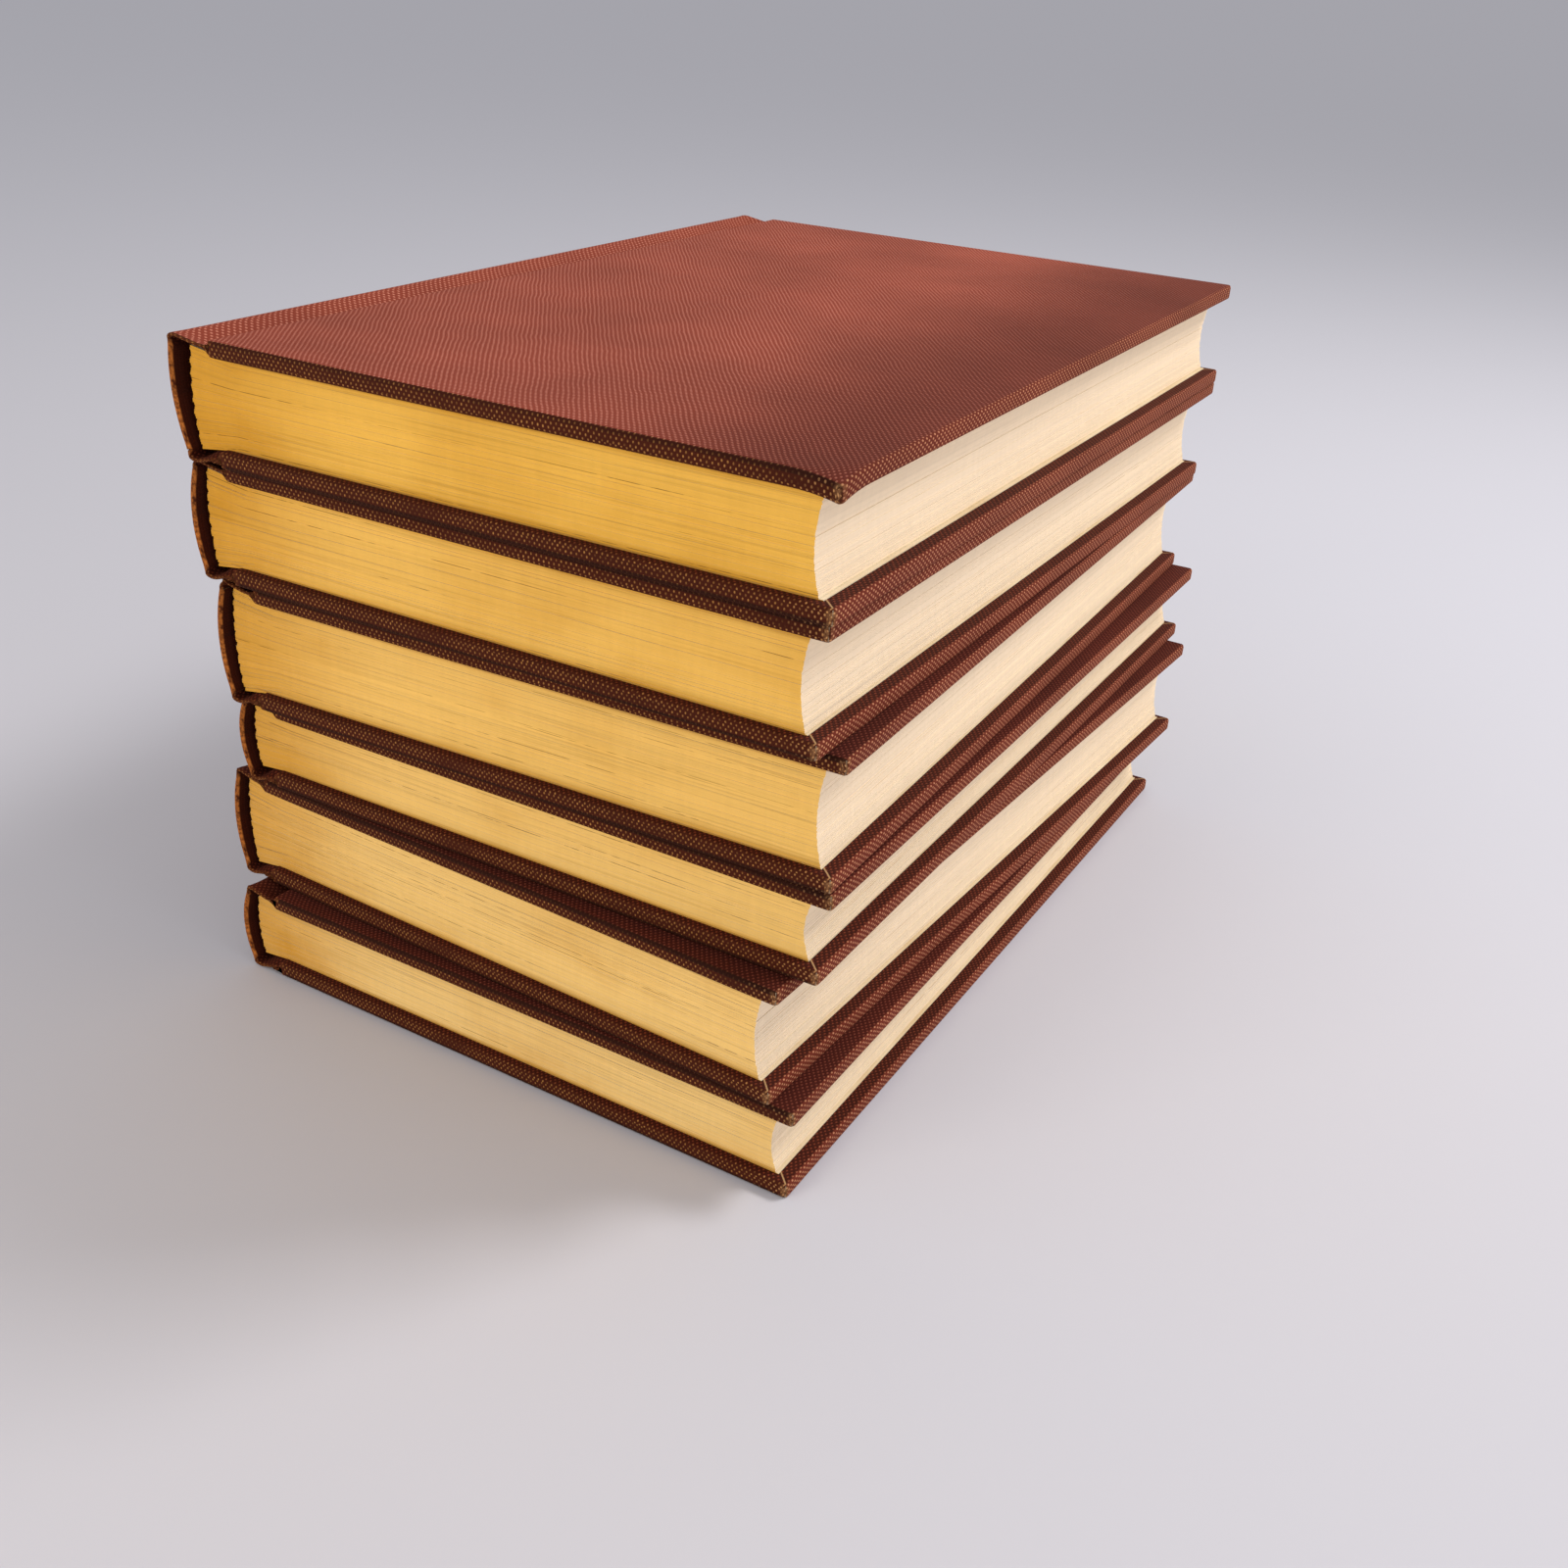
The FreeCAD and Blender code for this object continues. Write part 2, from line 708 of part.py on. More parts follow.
def make_parted_cloth(section):
    """The top book's cloth, parted at the foot of each groove, where its covers hinge."""
    covers = (
        ("lower", section.lower_joint, section.lower_shift, False),
        ("upper", section.upper_joint, section.upper_shift, True),
    )
    for name, joint, shift, turned in covers:
        outlines = [
            section.cover_outline(joint, shift),
            section.board_outline(shift),
            section.cover_window(joint, shift),
        ]
        if turned:
            outlines = [mirrored(outline, section.height) for outline in outlines]
        body = new_body(section, name + "_cover_cloth")
        new_pad(body, "cover", [outlines[0]], "Sizes.board_length")
        new_pocket(body, "board_room", [outlines[1]], BARE_LENGTH)
        new_pocket(body, "window", [outlines[2]], WINDOW_LENGTH)
    body = new_body(section, "spine_cloth")
    new_pad(body, "spine", [section.spine_outline()], "Sizes.board_length")
    new_pocket(body, "strip_room", [section.strip_outline()], BARE_LENGTH)
    new_pocket(body, "window", [section.spine_window()], WINDOW_LENGTH)


def make_parted_endpapers(section):
    """The top book's endpapers: the pasted leaves turn with the covers, the free ones stay."""
    covers = (
        ("lower", section.lower_joint, section.lower_back, section.lower_shift, False),
        ("upper", section.upper_joint, section.upper_back, section.upper_shift, True),
    )
    for name, joint, back, shift, turned in covers:
        pasted, free = section.pasted_outline(joint, shift), section.free_leaf_outline(back)
        if turned:
            pasted, free = mirrored(pasted, section.height), mirrored(free, section.height)
        new_pad(new_body(section, name + "_pasted_leaf"), "paper", [pasted], LEAVES_LENGTH)
        new_pad(new_body(section, name + "_free_leaf"), "paper", [free], LEAVES_LENGTH)


def footprint_middle():
    """The middle of the ground that the turned books cover."""
    spine = size("board_width") / 2 + crest_reach() + size("spine_rise")
    reach = size("board_length") / 2
    across, lengthways = [], []
    for number in range(1, BOOK_COUNT + 1):
        prefix = "book_%d_" % number
        fore = size("board_width") / 2 + size(prefix + "slip") / 2
        turn = math.radians(size(prefix + "turn"))
        for x in (-spine, fore):
            for y in (-reach, reach):
                across.append(
                    size(prefix + "across") + x * math.cos(turn) - y * math.sin(turn)
                )
                lengthways.append(
                    size(prefix + "along") + x * math.sin(turn) + y * math.cos(turn)
                )
    middle_across = (min(across) + max(across)) / 2
    middle_along = (min(lengthways) + max(lengthways)) / 2
    return middle_across, middle_along


middle_across, middle_along = footprint_middle()
write_size(next_row, "middle_across", middle_across)
write_size(next_row + 1, "middle_along", middle_along)
doc.recompute()

for book_number in range(1, BOOK_COUNT + 1):
    book = Section(book_number)
    make_leaves(book)
    make_boards(book)
    make_spine_strip(book)
    if book_number == 1:
        make_parted_cloth(book)
        make_parted_endpapers(book)
    else:
        make_case_cloth(book)
        make_endpapers(book)

doc.recompute()

# Nothing is written unless every piece came out whole
bodies = [item for item in doc.Objects if item.TypeId == "PartDesign::Body"]
for item in doc.Objects:
    if "Invalid" in item.State or "Error" in item.State:
        raise RuntimeError("%s failed: %s" % (item.Label, item.State))
for body in bodies:
    if body.Shape.isNull() or not body.Shape.isValid() or len(body.Shape.Solids) != 1:
        raise RuntimeError("%s has no single valid solid" % body.Label)

os.makedirs("parts", exist_ok=True)
for body in bodies:
    body.Shape.exportStep(os.path.join("parts", body.Label + ".step"))
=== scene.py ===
"""Looks of a stack of six cloth-bound books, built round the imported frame.

Every book is dressed in its own frame, in millimetres: X from spine to fore-edge, Y from head to
tail, Z up from the book's underside. Its place, turn, thickness and slip are read off the frame.
"""

import logging
import math
from collections.abc import Callable
from dataclasses import dataclass, field
from enum import Enum

import bpy
import numpy as np
from mathutils import Matrix, Vector


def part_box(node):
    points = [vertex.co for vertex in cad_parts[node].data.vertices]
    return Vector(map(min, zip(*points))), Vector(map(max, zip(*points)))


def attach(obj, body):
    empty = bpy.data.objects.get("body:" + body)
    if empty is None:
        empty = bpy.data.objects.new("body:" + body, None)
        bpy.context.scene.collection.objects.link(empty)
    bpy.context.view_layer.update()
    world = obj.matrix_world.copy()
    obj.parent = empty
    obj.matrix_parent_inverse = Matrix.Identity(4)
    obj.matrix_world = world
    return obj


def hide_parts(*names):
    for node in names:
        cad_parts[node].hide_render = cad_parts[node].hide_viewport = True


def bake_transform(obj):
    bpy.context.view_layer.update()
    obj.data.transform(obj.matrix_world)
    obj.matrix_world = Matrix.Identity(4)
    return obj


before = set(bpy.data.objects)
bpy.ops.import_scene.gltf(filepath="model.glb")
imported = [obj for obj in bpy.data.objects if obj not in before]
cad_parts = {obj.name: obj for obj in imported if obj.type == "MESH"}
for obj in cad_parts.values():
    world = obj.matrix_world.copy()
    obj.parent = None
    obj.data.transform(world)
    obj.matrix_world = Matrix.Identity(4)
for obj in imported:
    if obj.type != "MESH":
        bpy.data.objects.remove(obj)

MM = 0.001
QUARTER = math.pi / 2
BOOKS = 6
OPENING_BOOK = 1
LOG = logging.getLogger("stack_of_books")

MATH = "ShaderNodeMath"
VECTOR = "ShaderNodeVectorMath"
MIX = "ShaderNodeMix"
RANGE = "ShaderNodeMapRange"
NOISE = "ShaderNodeTexNoise"
STORE = "GeometryNodeStoreNamedAttribute"
COLOURS = {"data_type": "RGBA"}
SMOOTH = {"interpolation_type": "SMOOTHSTEP"}
PLUS = {"operation": "ADD"}
MINUS = {"operation": "SUBTRACT"}
TIMES = {"operation": "MULTIPLY"}
TIMES_PLUS = {"operation": "MULTIPLY_ADD"}
LARGER = {"operation": "MAXIMUM"}
SIZE = {"operation": "ABSOLUTE"}
LEAF_INPUTS = (
    ("Count", "Int"), ("Seed", "Int"), ("Pitch", "Float"), ("Bottom", "Float"), ("Middle", "Float"),
    ("Half", "Float"), ("Length", "Float"), ("Fore", "Float"), ("Hollow", "Float"), ("Back", "Float"),
    ("Rise", "Float"), ("Toning", "Float"), ("Material", "Material"),
)
# The angle between two faces, in degrees, from which their edge stays sharp.
SHARP_FROM = 60
NEARLY_NOTHING = 1e-6
Point = tuple[float, float]


class Side(Enum):
    """Which cover of a book a piece belongs to."""

    LOWER = "lower"
    UPPER = "upper"


class Slot(Enum):
    """The record's material slots."""

    CLOTH = "book_cloth"
    GREYBOARD = "greyboard"
    CARD = "spine_card"
    LEAVES = "leaves"


class Zone(Enum):
    """Stretches of the covering cloth, from the fore-edge to the spine."""

    FORE = 0
    BOARD = 1
    JOINT = 2
    SPINE = 3


def linear(hex_colour: str) -> tuple[float, float, float, float]:
    """Turn an sRGB hex colour into linear light.

    Args:
        hex_colour: Six hex digits.

    Returns:
        Red, green, blue and an alpha of one.
    """
    parts = [int(hex_colour[i:i + 2], 16) / 255 for i in (0, 2, 4)]
    light = [c / 12.92 if c <= 0.04045 else ((c + 0.055) / 1.055) ** 2.4 for c in parts]
    return (light[0], light[1], light[2], 1.0)


def add(tree: bpy.types.NodeTree, kind: str, settings: dict | None = None,
        links: dict | None = None) -> bpy.types.Node:
    """Add one node with its settings and its inputs.

    Args:
        tree: The node tree that the node goes into.
        kind: The node's type.
        settings: Properties of the node, by name.
        links: Sockets, nodes or plain values, by the input's name or number. A node gives its
            first output in use.

    Returns:
        The new node.
    """
    node = tree.nodes.new(kind)
    for name, value in (settings or {}).items():
        setattr(node, name, value)
    for key, value in (links or {}).items():
        if isinstance(value, bpy.types.Node):
            value = next(output for output in value.outputs if output.enabled)
        if isinstance(value, bpy.types.NodeSocket):
            tree.links.new(value, node.inputs[key])
        else:
            node.inputs[key].default_value = value
    return node


def arc(centre: Point, radius: float, start: float, end: float, count: int) -> np.ndarray:
    """Find points on an arc, ends included.

    Args:
        centre: The arc's centre.
        radius: Its radius.
        start: Angle of the first point.
        end: Angle of the last point.
        count: How many points.

    Returns:
        Rows of x and z.
    """
    angles = np.linspace(start, end, count)
    return np.column_stack(
        (centre[0] + radius * np.cos(angles), centre[1] + radius * np.sin(angles))
    )


@dataclass(frozen=True)
class BookPlace:
    """Where one book lies and how large it is, in millimetres and radians."""

    number: int
    middle: Point
    level: float
    turn: float
    height: float
    slip: float
    width: float
    length: float

    @classmethod
    def read(cls, number: int, cloth: float) -> "BookPlace":
        """Read a book's place off its two boards in the frame.

        Args:
            number: The book, counted from the top one down.
            cloth: Thickness of the cloth over the boards.

        Returns:
            The book's place.
        """
        lower, upper = (cls.board_corners(number, side) for side in (Side.LOWER, Side.UPPER))
        along = lower[1] - lower[0]
        turn = math.atan2(-along[0], along[1])
        across = np.array((math.cos(turn), math.sin(turn)))
        middles = lower.mean(axis=0), upper.mean(axis=0)
        middle = (middles[0] + middles[1]) / 2
        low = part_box(f"book_{number}_{Side.LOWER.value}_board")[0].z / MM - cloth
        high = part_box(f"book_{number}_{Side.UPPER.value}_board")[1].z / MM + cloth
        return cls(
            number=number,
            middle=(float(middle[0]), float(middle[1])),
            level=low,
            turn=turn,
            height=high - low,
            slip=float((middles[1] - middles[0]) @ across),
            width=float(np.linalg.norm(lower[2] - lower[0])) + 2 * cloth,
            length=float(np.linalg.norm(along)) + 2 * cloth,
        )

    @staticmethod
    def board_corners(number: int, side: Side) -> np.ndarray:
        """Find a board's corners in plan.

        Args:
            number: The book, counted from the top one down.
            side: Which of its boards.

        Returns:
            Spine and head, spine and tail, fore and head, fore and tail.
        """
        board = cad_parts[f"book_{number}_{side.value}_board"]
        plan = np.array([vertex.co[:2] for vertex in board.data.vertices]) / MM
        total, difference = plan.sum(axis=1), plan[:, 0] - plan[:, 1]
        picks = (total.argmin(), difference.argmin(), difference.argmax(), total.argmax())
        return plan[list(picks)]

    def to_world(self, points: np.ndarray) -> np.ndarray:
        """Carry points from the book's own frame to the row frame.

        Args:
            points: Rows of x, y and z, in millimetres.

        Returns:
            The same points, in metres.
        """
        cos, sin = math.cos(self.turn), math.sin(self.turn)
        x = self.middle[0] + points[:, 0] * cos - points[:, 1] * sin
        y = self.middle[1] + points[:, 0] * sin + points[:, 1] * cos
        return np.column_stack((x, y, self.level + points[:, 2])) * MM


@dataclass(frozen=True)
class CaseForm:
    """Sizes of the case that all the books share, in millimetres."""

    cover: float = 3.8
    cloth: float = 0.4
    edge_round: float = 0.8
    end_round: float = 0.9
    corner_round: float = 1.3
    soft_corner: float = 2.0
    groove_radius: float = 1.7
    groove_drop: float = 0.2
    shoulder_radius: float = 2.3
    joint_run: float = 5.6
    spine_rise: float = 4.5
    strip: float = 0.8

    @property
    def crest_reach(self) -> float:
        """Board's spine edge to the crest of the shoulder."""
        return self.groove_radius + self.joint_run


@dataclass
class Rails:
    """The two faces of a layered section, walked from the lower fore-edge to the upper one."""

    outer: np.ndarray
    inner: np.ndarray
    zones: np.ndarray
    outer_reach: np.ndarray
    inner_reach: np.ndarray


@dataclass
class CaseSection:
    """The section of one book's case, drawn by the same arcs as its solids."""

    place: BookPlace
    form: CaseForm
    near_fore: tuple[float, ...] = (1.1, 1.4, 1.9, 2.5, 3.4, 4.6, 6.5, 9.0, 12.0, 16.0)
    board_step: float = 6.5
    before_edge: float = 1.0
    turn_points: int = 5
    groove_points: int = 9
    shoulder_points: int = 10
    slope_points: int = 6
    spine_points: int = 28

    def spine_circle(self) -> tuple[Point, float]:
        """Find the spine's outer round.

        Returns:
            Its centre and its radius.
        """
        rise, tip = self.form.spine_rise, self.form.shoulder_radius
        reach = self.place.height / 2 - tip
        radius = (rise**2 + reach**2 - tip**2) / (2 * (rise - tip))
        left = -self.place.width / 2 - self.form.crest_reach - rise
        return (left + radius, self.place.height / 2), radius

    def joint(self, shift: float) -> tuple[Point, Point, float, float]:
        """Find the arcs of the lower joint.

        Args:
            shift: How far the board lies towards the fore-edge.

        Returns:
            The groove's and the shoulder's centres, the flank's angle and the spine's first angle.
        """
        form = self.form
        foot = form.cover - 2 * form.cloth - form.groove_drop
        edge = -self.place.width / 2 + shift
        groove = (edge - form.groove_radius, foot - form.groove_radius)
        shoulder = (-self.place.width / 2 - form.crest_reach, form.shoulder_radius)
        across = (shoulder[0] - groove[0], shoulder[1] - groove[1])
        lean = math.acos((form.groove_radius + form.shoulder_radius) / math.hypot(*across))
        flank = math.atan2(across[1], across[0]) - lean
        centre, _ = self.spine_circle()
        outward = math.atan2(shoulder[1] - centre[1], shoulder[0] - centre[0]) + 2 * math.pi
        return groove, shoulder, flank, outward

    def layer(self, shift: float, depth: float) -> np.ndarray:
        """Draw one layer of the lower joint, from the groove's foot to the crest of the shoulder.

        Args:
            shift: How far the board lies towards the fore-edge.
            depth: How deep the layer lies under the outer face.

        Returns:
            Rows of x and z.
        """
        form = self.form
        groove, shoulder, flank, outward = self.joint(shift)
        start = 0.0 if depth == 0 else QUARTER
        return np.vstack((
            arc(groove, form.groove_radius + depth, start, flank, self.groove_points)[1:],
            arc(shoulder, form.shoulder_radius - depth, flank + math.pi, outward, self.shoulder_points),
        ))

    def half(self, shift: float) -> tuple[np.ndarray, np.ndarray, np.ndarray]:
        """Draw both faces of the lower cover and its joint.

        Args:
            shift: How far the board lies towards the fore-edge.

        Returns:
            The outer face, the inner face and the zone of each point.
        """
        form, half_width = self.form, self.place.width / 2
        fore, edge, turn = half_width + shift, -half_width + shift, form.edge_round
        groove, _, _, _ = self.joint(shift)
        run = list(self.near_fore)
        left = self.place.width - turn - self.before_edge
        steps = max(2, round((left - run[-1]) / self.board_step))
        run += list(np.linspace(run[-1], left, steps + 1)[1:])
        across = fore - np.array(run)
        middle = np.array([[fore, form.cover / 2]])
        outer = np.vstack((
            middle,
            arc((fore - turn, turn), turn, 0.0, -QUARTER, self.turn_points),
            np.column_stack((across, np.zeros(len(run)))),
            arc((edge + turn, turn), turn, -QUARTER, -2 * QUARTER, self.turn_points),
            [[edge, groove[1]]],
            self.layer(shift, 0.0),
        ))
        slope = np.linspace(
            (edge + form.cloth, form.cover), (groove[0], form.cover - form.groove_drop),
            self.slope_points,
        )
        inner = np.vstack((
            middle,
            arc((fore - turn, form.cover - turn), turn, 0.0, QUARTER, self.turn_points),
            np.column_stack((across, np.full(len(run), form.cover))),
            slope,
            self.layer(shift, 2 * form.cloth),
        ))
        in_fore = self.turn_points + 1
        in_joint = len(outer) - in_fore - len(run)
        zones = np.repeat(
            (Zone.FORE.value, Zone.BOARD.value, Zone.JOINT.value), (in_fore, len(run), in_joint)
        )
        return outer, inner, zones

    def rails(self) -> Rails:
        """Draw the whole case, from one fore-edge round the spine to the other.

        Returns:
            Both faces, point by point.
        """
        height = self.place.height
        lower = self.half(-self.place.slip / 2)
        upper = self.half(self.place.slip / 2)
        centre, radius = self.spine_circle()
        start = self.joint(0.0)[3]
        span = (start, 2 * math.pi - start)
        inside = radius - 2 * self.form.cloth - self.form.strip
        flip = np.array((1.0, -1.0))
        lift = np.array((0.0, height))
        rounds = [arc(centre, r, *span, self.spine_points)[1:-1] for r in (radius, inside)]
        outer = np.vstack((lower[0], rounds[0], upper[0][::-1] * flip + lift))
        inner = np.vstack((lower[1], rounds[1], upper[1][::-1] * flip + lift))
        zones = np.concatenate((lower[2], [Zone.SPINE.value] * len(rounds[0]), upper[2][::-1]))
        outer_reach = walked(outer)
        inner_reach = -walked(inner)
        back = outer_reach[-1] + walked(inner[::-1])[::-1]
        beyond = np.arange(len(inner)) > len(inner) // 2
        inner_reach = np.where(beyond, back, inner_reach)
        return Rails(outer, inner, zones, outer_reach, inner_reach)


def walked(points: np.ndarray) -> np.ndarray:
    """Length walked along points up to each of them."""
    steps = np.linalg.norm(np.diff(points, axis=0), axis=1)
    return np.concatenate(([0.0], np.cumsum(steps)))


@dataclass
class BandMesh:
    """A layered section drawn out along the book, with its ends rounded over and closed."""

    rails: Rails
    first: int
    last: int
    length: float
    end_round: float
    near_end: tuple[float, ...] = (1.1, 1.4, 1.7, 2.1, 2.8, 4.0, 6.0, 9.0, 13.0, 18.0)
    long_step: float = 9.0
    turn_points: int = 5
    least_round: float = 0.01
    # The outer and the inner face may each be rounded over by up to this share of the thickness.
    round_share: float = 0.475
    far: float = 9.0
    joint_share: float = 0.15

    def stations(self) -> tuple[np.ndarray, np.ndarray, np.ndarray]:
        """Find the stations along the book.

        Returns:
            Place, inset and walked length of each station.
        """
        half, turn = self.length / 2, self.end_round
        angles = np.linspace(QUARTER, 0.0, self.turn_points)
        near = [half - turn + turn * math.sin(a) for a in angles]
        inset = [turn * (1 - math.cos(a)) for a in angles]
        reach = [half - turn + turn * a for a in angles]
        middle = [half - d for d in self.near_end]
        steps = max(1, round(middle[-1] / self.long_step))
        middle += list(np.linspace(middle[-1], 0.0, steps + 1)[1:])
        place = np.array(near + middle)
        inset = np.array(inset + [0.0] * len(middle))
        reach = np.array(reach + middle)
        return (
            np.concatenate((-place, place[-2::-1])),
            np.concatenate((inset, inset[-2::-1])),
            np.concatenate((-reach, reach[-2::-1])),
        )

    def loop(self) -> tuple[np.ndarray, np.ndarray, np.ndarray, np.ndarray, np.ndarray]:
        """Close the section.

        Returns:
            Its points, reaches, zones, inner flags and the inner point across from each outer one.
        """
        rails, count = self.rails, self.last - self.first + 1
        keep = [
            k for k in range(self.last, self.first - 1, -1)
            if np.linalg.norm(rails.outer[k] - rails.inner[k]) > NEARLY_NOTHING
        ]
        points = np.vstack((rails.outer[self.first:self.last + 1], rails.inner[keep]))
        reach = np.concatenate((rails.outer_reach[self.first:self.last + 1], rails.inner_reach[keep]))
        zones = np.concatenate((rails.zones[self.first:self.last + 1], rails.zones[keep]))
        inner = np.concatenate((np.zeros(count), np.ones(len(keep))))
        partner = np.arange(count)
        for place, k in enumerate(keep):
            partner[k - self.first] = count + place
        return points, reach, zones, inner, partner

    def build(self, name: str, fore: Point,
              shape: Callable[[np.ndarray], np.ndarray]) -> bpy.types.Mesh:
        """Make the mesh in the book's own frame.

        Args:
            name: Name of the mesh.
            fore: Place of the lower and the upper fore-edge.
            shape: Function that bends an array of local points.

        Returns:
            A mesh with its weave map and its attributes for wear and painted shade, still in millimetres.
        """
        points, reach, zones, inner, partner = self.loop()
        place, inset, along = self.stations()
        size, rows = len(points), len(place)
        before = points - np.roll(points, 1, axis=0)
        after = np.roll(points, -1, axis=0) - points
        normals = [np.column_stack((d[:, 1], -d[:, 0])) for d in (before, after)]
        normals = [n / np.maximum(np.linalg.norm(n, axis=1, keepdims=True), NEARLY_NOTHING) for n in normals]
        inward = normals[0] + normals[1]
        inward /= np.maximum(np.linalg.norm(inward, axis=1, keepdims=True), NEARLY_NOTHING)
        thickness = np.linalg.norm(points[partner] - points[:len(partner)], axis=1)
        room = np.full(size, self.end_round)
        for k, m in enumerate(partner):
            fitting = min(self.end_round, self.round_share * thickness[k])
            room[k] = room[m] = max(self.least_round, fitting)
        share = inset[:, None] / self.end_round * room[None, :]
        plan = points[None, :, :] + share[:, :, None] * inward[None, :, :]
        grid = np.stack(
            (plan[:, :, 0], np.broadcast_to(place[:, None], (rows, size)), plan[:, :, 1]), axis=2
        )
        top = self.rails.outer[:, 1].max()
        edge_at = np.where(points[:, 1] > top / 2, fore[1], fore[0])
        nearest = np.minimum(points[:, 1], top - points[:, 1])
        on_board = zones <= Zone.BOARD.value
        there = (zones == Zone.SPINE.value, zones == Zone.JOINT.value)
        # Masks for wear, and for painted shade at contacts and in the spine's hollow.
        wear = {
            "from_fore": np.where(on_board, edge_at - points[:, 0], self.length),
            "from_end": (self.length / 2 - np.abs(place))[:, None],
            "from_flat": np.where(on_board & (inner == 0), nearest, self.far),
            "inside": inner,
            "on_spine": np.select(there, (1.0, self.joint_share), 0.0),
        }
        quads = self.quads(rows, size, partner)
        mesh = bpy.data.meshes.new(name)
        mesh.from_pydata(shape(grid.reshape(-1, 3)), [], quads)
        self.map_weave(mesh, quads, reach, along, partner, rows, size)
        for attribute, values in wear.items():
            store(mesh, attribute, np.broadcast_to(values, (rows, size)))
        mesh.shade_smooth()
        mesh.set_sharp_from_angle(angle=math.radians(SHARP_FROM))
        mesh.update()
        return mesh

    def quads(self, rows: int, size: int, partner: np.ndarray) -> list[tuple[int, ...]]:
        """List the side faces, then the two closed ends.

        Args:
            rows: How many stations.
            size: How many points the section has.
            partner: For each outer point, the inner one across from it.

        Returns:
            The vertices of each face.
        """
        found = []
        for row in range(rows - 1):
            low, high = row * size, (row + 1) * size
            for m in range(size):
                following = (m + 1) % size
                found.append((low + m, low + following, high + following, high + m))
        for base, turned in ((0, True), ((rows - 1) * size, False)):
            for k in range(len(partner) - 1):
                face = [base + k, base + k + 1, base + partner[k + 1], base + partner[k]]
                face = list(dict.fromkeys(int(index) for index in face))
                found.append(tuple(reversed(face)) if turned else tuple(face))
        return found

    def map_weave(self, mesh: bpy.types.Mesh, quads: list[tuple[int, ...]],
                  reach: np.ndarray, along: np.ndarray, partner: np.ndarray, rows: int, size: int) -> None:
        """Lay the weave over the mesh, in millimetres, carried on over its closed ends.

        Args:
            mesh: The mesh.
            quads: The vertices of each face.
            reach: Length walked round the section up to each point.
            along: Length walked along the book up to each station.
            partner: For each outer point, the inner one across from it.
            rows: How many stations.
            size: How many points the section has.
        """
        layer = mesh.uv_layers.new(name="weave")
        uv = np.zeros((len(mesh.loops), 2))
        side = (rows - 1) * size
        indices = np.array([index for face in quads[:side] for index in face])
        uv[:4 * side, 0] = reach[indices % size]
        uv[:4 * side, 1] = along[indices // size]
        owner = {int(p): k for k, p in enumerate(partner)}
        points = np.array([vertex.co for vertex in mesh.vertices])
        place = 4 * side
        for face in quads[side:]:
            for index in face:
                row, m = divmod(index, size)
                k = m if m < len(partner) else owner[m]
                depth = np.linalg.norm(points[row * size + k] - points[index])
                uv[place] = reach[k], along[row] + math.copysign(depth, along[row])
                place += 1
        layer.data.foreach_set("uv", uv.ravel())


def store(mesh: bpy.types.Mesh, name: str, values: np.ndarray) -> None:
    """Keep one number for each vertex of a mesh as a named attribute."""
    attribute = mesh.attributes.new(name, "FLOAT", "POINT")
    attribute.data.foreach_set("value", np.ascontiguousarray(values, dtype=np.float32).ravel())


def put_in_scene(mesh: bpy.types.Mesh, name: str, material: bpy.types.Material) -> bpy.types.Object:
    """Make a piece of a finished mesh, at the origin.

    Args:
        mesh: The mesh.
        name: The piece's name.
        material: Its material, where the mesh has none.

    Returns:
        The piece.
    """
    if not mesh.materials:
        mesh.materials.append(material)
    piece = bpy.data.objects.new(name, mesh)
    bpy.context.scene.collection.objects.link(piece)
    return piece


